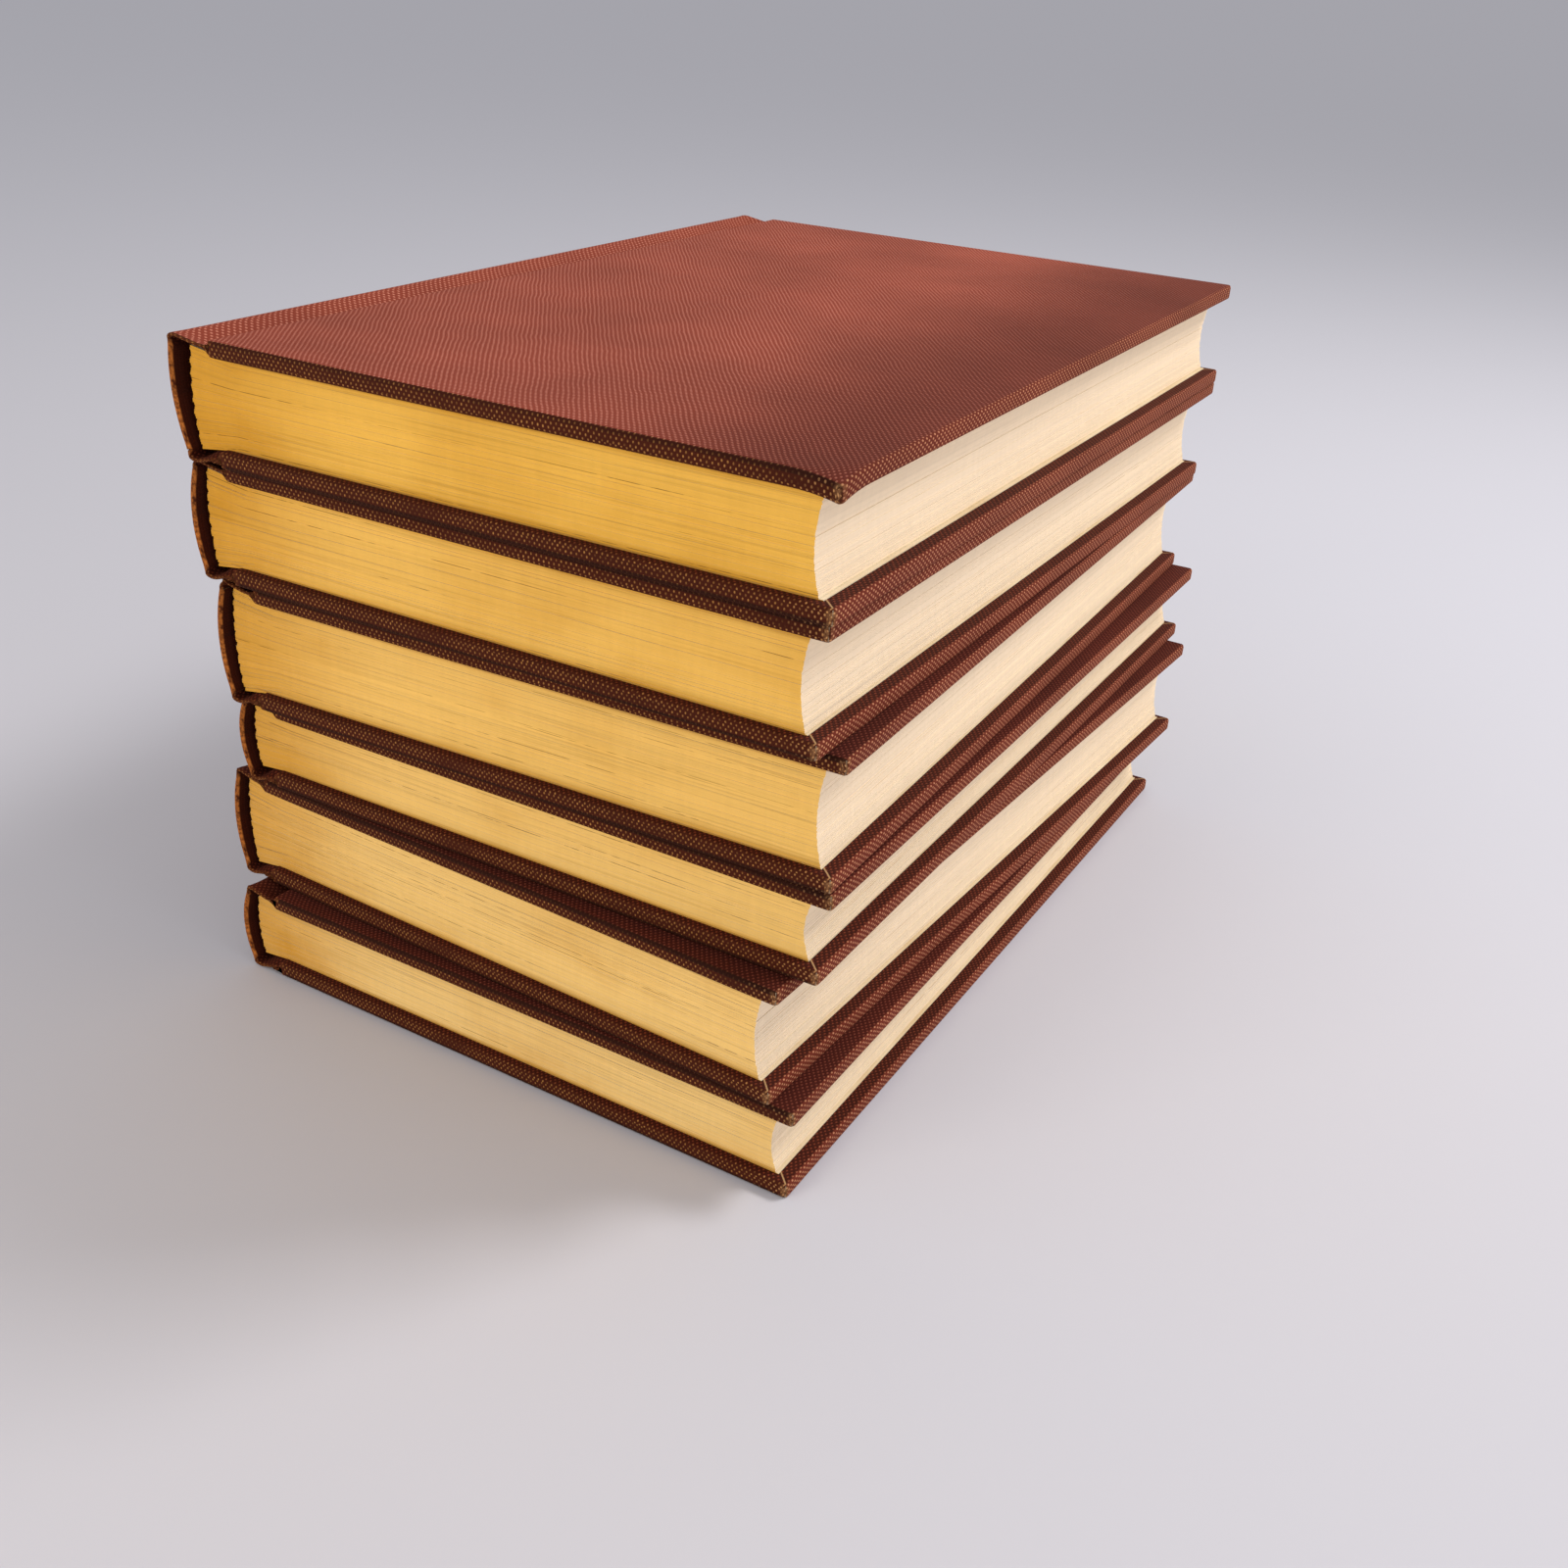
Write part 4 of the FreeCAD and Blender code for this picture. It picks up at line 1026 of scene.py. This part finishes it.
@dataclass
class LeafBlock:
    """The sewn leaves of one book, laid as many thin bundles by one Geometry Nodes tree."""

    place: BookPlace
    form: CaseForm
    material: bpy.types.Material
    head_square: float = 2.5
    fore_square: float = 4.5
    hollow: float = 1.5
    back_rise: float = 1.1
    back_gap: float = 0.15
    endpapers: float = 0.4
    bundle: float = 0.42
    section: float = 2.4
    fold: float = 0.45
    # How far bundles stray: fore-edge, back, head, thickness, tone and level.
    stray: tuple[Point, ...] = (
        (-0.07, 0.07), (-0.09, 0.09), (-0.06, 0.06), (0.99, 1.1), (0.0, 1.0), (-0.04, 0.04),
    )
    fan_from: float = -78.5
    fan_to: float = -82.6
    fan_share: float = 0.17
    seed_step: int = 17

    def tree(self) -> bpy.types.NodeTree:
        """Make the tree that stacks the bundles, once for all the books.

        Returns:
            The tree.
        """
        found = bpy.data.node_groups.get("leaf_bundles")
        if found:
            return found
        tree = bpy.data.node_groups.new("leaf_bundles", "GeometryNodeTree")
        tree.interface.new_socket("Geometry", in_out="OUTPUT", socket_type="NodeSocketGeometry")
        for name, kind in LEAF_INPUTS:
            tree.interface.new_socket(name, in_out="INPUT", socket_type=f"NodeSocket{kind}")
        given = add(tree, "NodeGroupInput").outputs
        position = add(tree, "GeometryNodeInputPosition")
        axes = add(tree, "ShaderNodeSeparateXYZ", {}, {0: position}).outputs
        over = add(tree, MATH, MINUS, {0: axes[2], 1: given["Middle"]})
        over = add(tree, MATH, {"operation": "DIVIDE"}, {0: over, 1: given["Half"]})
        bow = add(tree, MATH, MINUS, {0: 1.0, 1: add(tree, MATH, TIMES, {0: over, 1: over})})
        bundles = self.bundles(tree, given, position, axes, bow)
        leaves = add(tree, "GeometryNodeRealizeInstances", {}, {0: bundles})
        in_metres = add(tree, VECTOR, {"operation": "SCALE"}, {0: position, "Scale": MM})
        # Raised by its seed, so that no two blocks look alike.
        in_metres = add(tree, VECTOR, PLUS, {
            0: in_metres, 1: add(tree, "ShaderNodeCombineXYZ", {}, {2: given["Seed"]}),
        })
        for name, domain, kind, value in (
            ("facing", "FACE", "FLOAT_VECTOR", add(tree, "GeometryNodeInputNormal")),
            ("in_book", "POINT", "FLOAT_VECTOR", in_metres), ("from_cover", "POINT", "FLOAT", bow),
            ("toning", "POINT", "FLOAT", given["Toning"]),
        ):
            leaves = add(tree, STORE, {"data_type": kind, "domain": domain},
                         {"Geometry": leaves, "Name": name, "Value": value})
        bent = add(tree, "GeometryNodeSetPosition", {}, {
            "Geometry": leaves, "Offset": self.sway(tree, given, position, axes, bow),
        })
        dressed = add(tree, "GeometryNodeSetMaterial", {}, {"Geometry": bent, "Material": given["Material"]})
        add(tree, "NodeGroupOutput", {}, {0: dressed})
        return tree

    def bundles(self, tree: bpy.types.NodeTree, given: bpy.types.bpy_prop_collection,
                position: bpy.types.Node, axes: bpy.types.bpy_prop_collection,
                bow: bpy.types.Node) -> bpy.types.Node:
        """Lay one box for each bundle, from its folds at the back to the hollow fore-edge.

        Args:
            tree: The tree.
            given: The tree's inputs.
            position: Where a bundle lies.
            axes: The same, axis by axis.
            bow: One at mid-height and zero at the covers.

        Returns:
            The bundles as instances.
        """
        start = add(tree, "ShaderNodeCombineXYZ", {}, {2: given["Bottom"]})
        step = add(tree, "ShaderNodeCombineXYZ", {}, {2: given["Pitch"]})
        line = add(tree, "GeometryNodeMeshLine", {}, {
            "Count": given["Count"], "Start Location": start, "Offset": step,
        })
        stray = [
            add(tree, "FunctionNodeRandomValue", {"data_type": "FLOAT"}, {
                2: low, 3: high, "Seed": add(tree, MATH, PLUS, {0: given["Seed"], 1: float(number)}),
            })
            for number, (low, high) in enumerate(self.stray)
        ]
        uneven = add(tree, NOISE, {}, {"Vector": position, "Scale": 0.7, "Detail": 2.0})
        drift = add(tree, MATH, TIMES, {0: add(tree, MATH, MINUS, {0: uneven, 1: 0.5}), 1: 0.6})
        hollow = add(tree, MATH, TIMES, {0: given["Hollow"], 1: bow})
        fore = add(tree, MATH, MINUS, {0: given["Fore"], 1: hollow})
        fore = add(tree, MATH, PLUS, {0: add(tree, MATH, PLUS, {0: fore, 1: stray[0]}), 1: drift})
        rise = add(tree, MATH, TIMES, {0: given["Rise"], 1: bow})
        back = add(tree, MATH, MINUS, {0: given["Back"], 1: rise})
        turns = add(tree, MATH, TIMES, {0: axes[2], 1: math.pi / self.section})
        folds = add(tree, MATH, SIZE, {0: add(tree, MATH, {"operation": "SINE"}, {0: turns})})
        folds = add(tree, MATH, TIMES, {0: folds, 1: -self.fold})
        back = add(tree, MATH, PLUS, {0: add(tree, MATH, PLUS, {0: back, 1: stray[1]}), 1: folds})
        middle = add(tree, MATH, TIMES, {0: add(tree, MATH, PLUS, {0: fore, 1: back}), 1: 0.5})
        level = add(tree, MATH, PLUS, {0: axes[2], 1: stray[5]})
        spot = add(tree, "ShaderNodeCombineXYZ", {}, {0: middle, 1: stray[2], 2: level})
        placed = add(tree, "GeometryNodeSetPosition", {}, {"Geometry": line, "Position": spot})
        box = add(tree, "GeometryNodeMeshCube", {}, {
            "Size": (1.0, 1.0, 1.0), "Vertices X": 14, "Vertices Y": 4, "Vertices Z": 2,
        })
        box = add(tree, STORE, {"data_type": "FLOAT", "domain": "POINT"},
                  {"Geometry": box, "Name": "ply", "Value": axes[2]})
        scale = add(tree, "ShaderNodeCombineXYZ", {}, {
            0: add(tree, MATH, MINUS, {0: fore, 1: back}), 1: given["Length"],
            2: add(tree, MATH, TIMES, {0: given["Pitch"], 1: stray[3]}),
        })
        laid = add(tree, "GeometryNodeInstanceOnPoints", {}, {
            "Points": placed, "Instance": box, "Scale": scale,
        })
        return add(tree, STORE, {"data_type": "FLOAT", "domain": "INSTANCE"},
                   {"Geometry": laid, "Name": "bundle_tone", "Value": stray[4]})

    def sway(self, tree: bpy.types.NodeTree, given: bpy.types.bpy_prop_collection,
             position: bpy.types.Node, axes: bpy.types.bpy_prop_collection,
             bow: bpy.types.Node) -> bpy.types.Node:
        """Let the leaves fan out at the shoulders, and swell and sink between the boards.

        Args:
            tree: The tree.
            given: The tree's inputs.
            position: Where a point lies.
            axes: The same, axis by axis.
            bow: One at mid-height and zero at the covers.

        Returns:
            How far each point moves.
        """
        swell = add(tree, VECTOR, TIMES, {0: position, 1: (0.02, 0.012, 0.12)})
        noise = add(tree, NOISE, {}, {"Vector": swell, "Scale": 1.0, "Detail": 2.0})
        wave = add(tree, MATH, TIMES, {0: add(tree, MATH, MINUS, {0: noise, 1: 0.5}), 1: 0.7})
        wave = add(tree, MATH, TIMES, {0: wave, 1: add(tree, MATH, LARGER, {0: bow, 1: 0.0})})
        fan = add(tree, RANGE, SMOOTH, {
            0: axes[0], 1: self.fan_from, 2: self.fan_to, 3: 0.0, 4: self.fan_share,
        })
        above = add(tree, MATH, MINUS, {0: axes[2], 1: given["Middle"]})
        fanned = add(tree, MATH, TIMES, {0: above, 1: fan})
        return add(tree, "ShaderNodeCombineXYZ", {}, {2: add(tree, MATH, PLUS, {0: wave, 1: fanned})})

    def build(self) -> bpy.types.Object:
        """Stack the bundles and put the block in its place.

        Returns:
            The piece, which stands for the block's solid.
        """
        name = f"book_{self.place.number}_leaves"
        bottom = self.form.cover + self.endpapers
        thickness = self.place.height - 2 * bottom
        count = round(thickness / self.bundle)
        pitch = thickness / count
        half_width = self.place.width / 2
        tree = self.tree()
        holder = bpy.data.objects.new("leaf_holder", bpy.data.meshes.new("leaf_holder"))
        bpy.context.scene.collection.objects.link(holder)
        modifier = holder.modifiers.new("bundles", "NODES")
        modifier.node_group = tree
        values = {
            "Count": count, "Seed": self.seed_step * self.place.number, "Pitch": pitch,
            "Bottom": bottom + pitch / 2, "Middle": self.place.height / 2, "Half": thickness / 2,
            "Length": self.place.length - 2 * self.head_square, "Fore": half_width - self.fore_square,
            "Hollow": self.hollow, "Back": -half_width - self.form.crest_reach + self.back_gap,
            "Rise": self.back_rise, "Toning": 1 - (self.place.number - 1) / (BOOKS - 1),
            "Material": self.material,
        }
        for socket in tree.interface.items_tree:
            if socket.in_out == "INPUT":
                modifier[socket.identifier] = values[socket.name]
        graph = bpy.context.evaluated_depsgraph_get()
        mesh = bpy.data.meshes.new_from_object(holder.evaluated_get(graph))
        bpy.data.objects.remove(holder)
        mesh.name = name
        move(mesh, self.place)
        piece = put_in_scene(mesh, name, self.material)
        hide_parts(f"book_{self.place.number}_text_block")
        return piece


def smooth(share: np.ndarray) -> np.ndarray:
    """Ease a share in and out between zero and one."""
    return share * share * (3 - 2 * share)


def move(mesh: bpy.types.Mesh, place: BookPlace) -> None:
    """Carry a mesh from a book's own frame to the row frame.

    Args:
        mesh: The mesh.
        place: The book's place.
    """
    points = np.empty(len(mesh.vertices) * 3)
    mesh.vertices.foreach_get("co", points)
    mesh.vertices.foreach_set("co", place.to_world(points.reshape(-1, 3)).ravel())
    mesh.update()


@dataclass
class Case:
    """The covering cloth of one book, with the boards that it wraps."""

    place: BookPlace
    form: CaseForm
    material: bpy.types.Material
    section: CaseSection = field(init=False)
    rails: Rails = field(init=False)
    fore: Point = field(init=False)
    bend_reach: float = 11.0
    bend_drop: float = 1.5
    ease_reach: float = 5.0
    ease_share: float = 0.6
    cock: float = 2.6
    cock_run: float = 3.5
    # Bleaching of the top cover, and painted light added towards the spine.
    least_fade_and_light: float = 0.32
    more_fade_and_light: float = 0.62

    def __post_init__(self) -> None:
        """Draw the section, and find the fore-edges of both covers."""
        self.section = CaseSection(self.place, self.form)
        self.rails = self.section.rails()
        shift = self.place.slip / 2
        half = self.place.width / 2
        self.fore = (half - shift, half + shift)

    def shape(self, points: np.ndarray) -> np.ndarray:
        """Round the boards' corners, and bend what use has bent.

        Args:
            points: Rows of x, y and z in the book's own frame.

        Returns:
            The points where they come to lie.
        """
        out = points.copy()
        upper = points[:, 2] > self.place.height / 2
        fore = np.where(upper, self.fore[1], self.fore[0])
        soft = upper & (self.place.number == OPENING_BOOK)
        turn = np.where(soft, self.form.soft_corner, self.form.corner_round)
        a = (points[:, 0] - (fore - turn)) / turn
        b = (np.abs(points[:, 1]) - (self.place.length / 2 - turn)) / turn
        at_corner = (a > 0) & (b > 0)
        a, b = np.clip(a, 0, 1), np.clip(b, 0, 1)
        out[:, 0] = np.where(at_corner, fore - turn + turn * a * np.sqrt(1 - b**2 / 2), out[:, 0])
        along = self.place.length / 2 - turn + turn * b * np.sqrt(1 - a**2 / 2)
        out[:, 1] = np.where(at_corner, np.sign(points[:, 1]) * along, out[:, 1])
        out[:, 2] += self.bend(points) + self.eased(points)
        out[:, 0] -= self.cocked(points)
        return out

    def eased(self, points: np.ndarray) -> np.ndarray:
        """Push the joint out at head and tail, where the turned-in cloth fills the groove.

        Args:
            points: Rows of x, y and z in the book's own frame.

        Returns:
            How far each point moves in Z.
        """
        half = self.place.height / 2
        joint = (self.rails.zones == Zone.JOINT.value) & (self.rails.outer[:, 1] < half)
        line = self.rails.outer[joint][::-1]
        low = points[:, 2] < half
        x = points[:, 0] + np.where(low, 0.5, -0.5) * self.place.slip
        depth = np.interp(x, line[:, 0] + self.place.slip / 2, line[:, 1], left=0.0, right=0.0)
        near = np.clip(1 - (self.place.length / 2 - np.abs(points[:, 1])) / self.ease_reach, 0, 1)
        push = self.ease_share * depth * smooth(near)
        return np.where(low, -push, push)

    def cocked(self, points: np.ndarray) -> np.ndarray:
        """Pull the top book's spine outwards, most at its upper shoulder.

        Args:
            points: Rows of x, y and z in the book's own frame.

        Returns:
            How far each point moves outwards.
        """
        if self.place.number != OPENING_BOOK:
            return np.zeros(len(points))
        edge = -self.place.width / 2 - self.form.groove_radius
        across = np.clip((edge - points[:, 0]) / self.cock_run, 0, 1)
        height = np.clip(points[:, 2] / self.place.height, 0, 1)
        return self.cock * smooth(across) * height * height

    def bend(self, points: np.ndarray) -> np.ndarray:
        """Bend down the top board's head corner at the fore-edge.

        Args:
            points: Rows of x, y and z in the book's own frame.

        Returns:
            How far each point moves in Z.
        """
        if self.place.number != OPENING_BOOK:
            return np.zeros(len(points))
        away = (self.fore[1] - points[:, 0]) + (points[:, 1] + self.place.length / 2)
        share = np.clip(1 - away / self.bend_reach, 0, 1) ** 2
        return np.where(points[:, 2] > self.place.height / 2, -self.bend_drop * share, 0.0)

    def band(self, name: str, first: int, last: int) -> bpy.types.Object:
        """Make one stretch of the case between two points of its section.

        Args:
            name: The piece's name.
            first: The first point.
            last: The last point.

        Returns:
            The piece.
        """
        maker = BandMesh(self.rails, first, last, self.place.length, self.form.end_round)
        mesh = maker.build(name, self.fore, self.shape)
        store(mesh, "faded_and_lit", self.faded_and_lit(mesh))
        move(mesh, self.place)
        return put_in_scene(mesh, name, self.material)

    def faded_and_lit(self, mesh: bpy.types.Mesh) -> np.ndarray:
        """Find how much light has bleached each point, plus painted light growing towards the spine: only the
        top book's upper cover lay open to it.

        Args:
            mesh: The mesh in the book's own frame.

        Returns:
            A share for each vertex.
        """
        points = np.array([vertex.co for vertex in mesh.vertices])
        if self.place.number != OPENING_BOOK:
            return np.zeros(len(points))
        # Bleaching of the upper cover, growing towards the spine as painted light.
        height = np.clip((points[:, 2] - self.place.height * 0.4) / (self.place.height * 0.4), 0, 1)
        across = 0.5 - points[:, 0] / self.place.width
        share = np.clip((across - 0.05) / 0.4, 0, 1)
        return height * (self.least_fade_and_light + self.more_fade_and_light * smooth(share))

    def build(self) -> list[bpy.types.Object]:
        """Make the case in one piece.

        Returns:
            The piece, in a list.
        """
        number = self.place.number
        piece = self.band(f"book_{number}_case", 0, len(self.rails.outer) - 1)
        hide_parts(f"book_{number}_cover_cloth")
        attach(piece, "stack")
        return [piece]


@dataclass
class OpeningCase(Case):
    """The top book's case, in two stretches parted where the spine begins."""

    greyboard: bpy.types.Material | None = None
    card: bpy.types.Material | None = None
    bend_run: float = 3.5
    strip_trim: float = 0.12
    strip_gap: float = 0.05
    strip_points: int = 24
    inner_round: float = 0.1

    def hinge_line(self, side: Side) -> tuple[Vector, Vector]:
        """Find the run at a joint where a stretch of cloth leaves its cover for the spine.

        Args:
            side: Which cover the stretch belongs to.

        Returns:
            Where it leaves its cover, and where it is at one with the spine.
        """
        crest = -self.place.width / 2 - self.form.crest_reach
        level = self.form.cover if side is Side.LOWER else self.place.height - self.form.cover
        ends = self.place.to_world(np.array([(crest + self.bend_run, 0.0, level), (crest, 0.0, level)]))
        return Vector(ends[0]), Vector(ends[1])

    def build(self) -> list[bpy.types.Object]:
        """Make the upper stretch with the spine, and the lower one up to its shoulder.

        Returns:
            Both stretches, the bent board and the pulled-out strip.
        """
        split = int(np.argmax(self.rails.zones == Zone.SPINE.value))
        lower = self.band("book_1_lower_case", 0, split)
        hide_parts("book_1_lower_cover_cloth")
        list(self.hinge_line(Side.LOWER))
        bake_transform(lower)
        upper = self.band("book_1_upper_case", split, len(self.rails.outer) - 1)
        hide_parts("book_1_upper_cover_cloth", "book_1_spine_cloth")
        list(self.hinge_line(Side.UPPER))
        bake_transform(upper)
        board = self.bent_board()
        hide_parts("book_1_upper_board")
        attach(board, "top_cover")
        strip = self.cocked_strip()
        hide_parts("book_1_spine_strip")
        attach(strip, "top_block")
        return [lower, upper, board, strip]

    def cocked_strip(self) -> bpy.types.Object:
        """Make the card strip inside the spine, pulled outwards with its cloth.

        Returns:
            The piece.
        """
        centre, radius = self.section.spine_circle()
        start = self.section.joint(0.0)[3] - self.strip_trim
        outside = radius - 2 * self.form.cloth + self.strip_gap
        faces = [
            arc(centre, r, start, 2 * math.pi - start, self.strip_points)
            for r in (outside, outside - self.form.strip)
        ]
        zones = np.full(self.strip_points, Zone.SPINE.value)
        rails = Rails(faces[0], faces[1], zones, walked(faces[0]), walked(faces[1]))
        length = self.place.length - 2 * self.form.end_round
        maker = BandMesh(rails, 0, self.strip_points - 1, length, self.inner_round)
        mesh = maker.build("book_1_cocked_strip", self.fore, self.shape)
        move(mesh, self.place)
        return put_in_scene(mesh, "book_1_cocked_strip", self.card)

    def bent_board(self) -> bpy.types.Object:
        """Make the upper board's greyboard, bent at its corner as its cloth is.

        Returns:
            The piece.
        """
        form, half = self.form, self.place.width / 2
        edges = (self.fore[1] - form.cloth, -half + self.place.slip / 2 + form.cloth)
        # A point for each millimetre by the corner, and wider apart beyond.
        finely = edges[0] - np.linspace(0, 16, 17)
        across = np.concatenate((finely, np.linspace(edges[0] - 22, edges[1], 14)))
        levels = (self.place.height - form.cover + form.cloth, self.place.height - form.cloth)
        faces = [np.column_stack((across, np.full(len(across), level))) for level in levels]
        zones = np.full(len(across), Zone.BOARD.value)
        reach = edges[0] - across
        rails = Rails(faces[0], faces[1], zones, reach, reach)
        length = self.place.length - 2 * form.cloth
        maker = BandMesh(rails, 0, len(across) - 1, length, self.inner_round)
        mesh = maker.build("book_1_bent_board", self.fore, self.shape)
        move(mesh, self.place)
        return put_in_scene(mesh, "book_1_bent_board", self.greyboard)


@dataclass(frozen=True)
class Lamp:
    """A square soft lamp that looks at the stack, in metres and watts."""

    name: str
    place: tuple[float, float, float]
    size: float
    power: float
    colour: str
    target: tuple[float, float, float] = (0.0, 0.0, 0.08)

    def build(self) -> None:
        """Hang the lamp."""
        data = bpy.data.lights.new(self.name, "AREA")
        data.shape = "SQUARE"
        data.size = self.size
        data.energy = self.power
        data.color = linear(self.colour)[:3]
        lamp = bpy.data.objects.new(self.name, data)
        lamp.location = self.place
        ahead = Vector(self.target) - Vector(self.place)
        lamp.rotation_euler = ahead.to_track_quat("-Z", "Y").to_euler()
        bpy.context.scene.collection.objects.link(lamp)


@dataclass(frozen=True)
class Studio:
    """A plain pale floor, soft light and the camera of the photograph."""

    floor_colour: str = "D2D1DA"
    light_colour: str = "FFFFFF"
    floor_size: float = 80.0
    ambient: float = 0.58
    lens: float = 37.106
    camera_at: tuple[float, float, float] = (205.224, -356.011, 241.618)
    yaw: float = 28.814
    pitch: float = 27.612
    roll: float = 3.368
    sensor: float = 36.0
    lamps: tuple[Lamp, ...] = (
        Lamp("key", (0.62, 0.55, 1.0), 0.35, 8.2, "FFFCF8"),
        Lamp("side", (1.2, -0.1, 0.2), 0.6, 3.8, "FFFAF4"),
        Lamp("fill", (-0.45, -1.15, 0.24), 0.6, 7.2, "FFF0DA"),
    )

    def build(self) -> None:
        """Set up the whole studio."""
        self.camera()
        self.floor()
        self.world()
        for lamp in self.lamps:
            lamp.build()
        bpy.context.scene.view_settings.view_transform = "Standard"

    def camera(self) -> None:
        """Place the camera as the photograph was taken."""
        yaw, pitch, roll = (math.radians(a) for a in (self.yaw, self.pitch, self.roll))
        ahead = Vector((-math.sin(yaw) * math.cos(pitch), math.cos(yaw) * math.cos(pitch), -math.sin(pitch)))
        right = Vector((math.cos(yaw), math.sin(yaw), 0.0))
        above = right.cross(ahead)
        across = math.cos(roll) * right + math.sin(roll) * above
        upward = math.cos(roll) * above - math.sin(roll) * right
        data = bpy.data.cameras.new("photo_camera")
        data.sensor_width = self.sensor
        data.lens = self.lens
        data.clip_start = 0.01
        data.clip_end = 100.0
        camera = bpy.data.objects.new("photo_camera", data)
        turn = Matrix((across, upward, -ahead)).transposed().to_4x4()
        camera.matrix_world = Matrix.Translation(Vector(self.camera_at) * MM) @ turn
        bpy.context.scene.collection.objects.link(camera)
        bpy.context.scene.camera = camera

    def floor(self) -> None:
        """Lay the floor under the stack."""
        half = self.floor_size / 2
        mesh = bpy.data.meshes.new("studio_floor")
        mesh.from_pydata([(-half, -half, 0), (half, -half, 0), (half, half, 0), (-half, half, 0)],
                         [], [(0, 1, 2, 3)])
        material = bpy.data.materials.new("pale_floor")
        material.use_nodes = True
        tree = material.node_tree
        tree.nodes.clear()
        shader = add(tree, "ShaderNodeBsdfDiffuse", {}, {"Color": linear(self.floor_colour)})
        add(tree, "ShaderNodeOutputMaterial", {}, {0: shader})
        mesh.materials.append(material)
        floor = bpy.data.objects.new("studio_floor", mesh)
        bpy.context.scene.collection.objects.link(floor)

    def world(self) -> None:
        """Soft light from everywhere; the camera sees the colour of the floor far off."""
        world = bpy.data.worlds.new("studio")
        bpy.context.scene.world = world
        world.use_nodes = True
        tree = world.node_tree
        tree.nodes.clear()
        path = add(tree, "ShaderNodeLightPath").outputs
        seen = add(tree, MATH, LARGER, {0: path["Is Camera Ray"], 1: path["Is Glossy Ray"]})
        seen = add(tree, MATH, LARGER, {0: seen, 1: path["Is Transmission Ray"]})
        light, behind = (
            add(tree, "ShaderNodeBackground", {}, {"Color": linear(colour), "Strength": self.ambient})
            for colour in (self.light_colour, self.floor_colour)
        )
        both = add(tree, "ShaderNodeMixShader", {}, {0: seen, 1: light, 2: behind})
        add(tree, "ShaderNodeOutputWorld", {}, {0: both})


def dress_nodes(finishes: Finishes) -> None:
    """Give the solids that stay in view their materials.

    Args:
        finishes: The materials.
    """
    kinds = (("board", finishes.greyboard), ("strip", finishes.spine_card), ("lining", finishes.mull),
             ("paper", finishes.endpaper), ("leaf", finishes.endpaper), ("cloth", finishes.cloth),
             ("block", finishes.leaves))
    for name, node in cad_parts.items():
        material = next(finish for word, finish in kinds if word in name)
        for slot in node.material_slots:
            slot.material = material


def main() -> None:
    """Build every book in order, then the studio."""
    logging.basicConfig(level=logging.INFO, format="%(name)s: %(message)s")
    form = CaseForm()
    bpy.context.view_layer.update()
    finishes = Finishes.make()
    dress_nodes(finishes)
    for number in range(1, BOOKS + 1):
        place = BookPlace.read(number, form.cloth)
        leaves = LeafBlock(place, form, finishes.leaves).build()
        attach(leaves, "top_block" if number == OPENING_BOOK else "stack")
        if number == OPENING_BOOK:
            case = OpeningCase(place, form, finishes.cloth, greyboard=finishes.greyboard,
                               card=finishes.spine_card)
        else:
            case = Case(place, form, finishes.cloth)
        for piece in [leaves, *case.build()]:
            LOG.info("%s: %d faces", piece.name, len(piece.data.polygons))
    Studio().build()


if __name__ == "__main__":
    main()
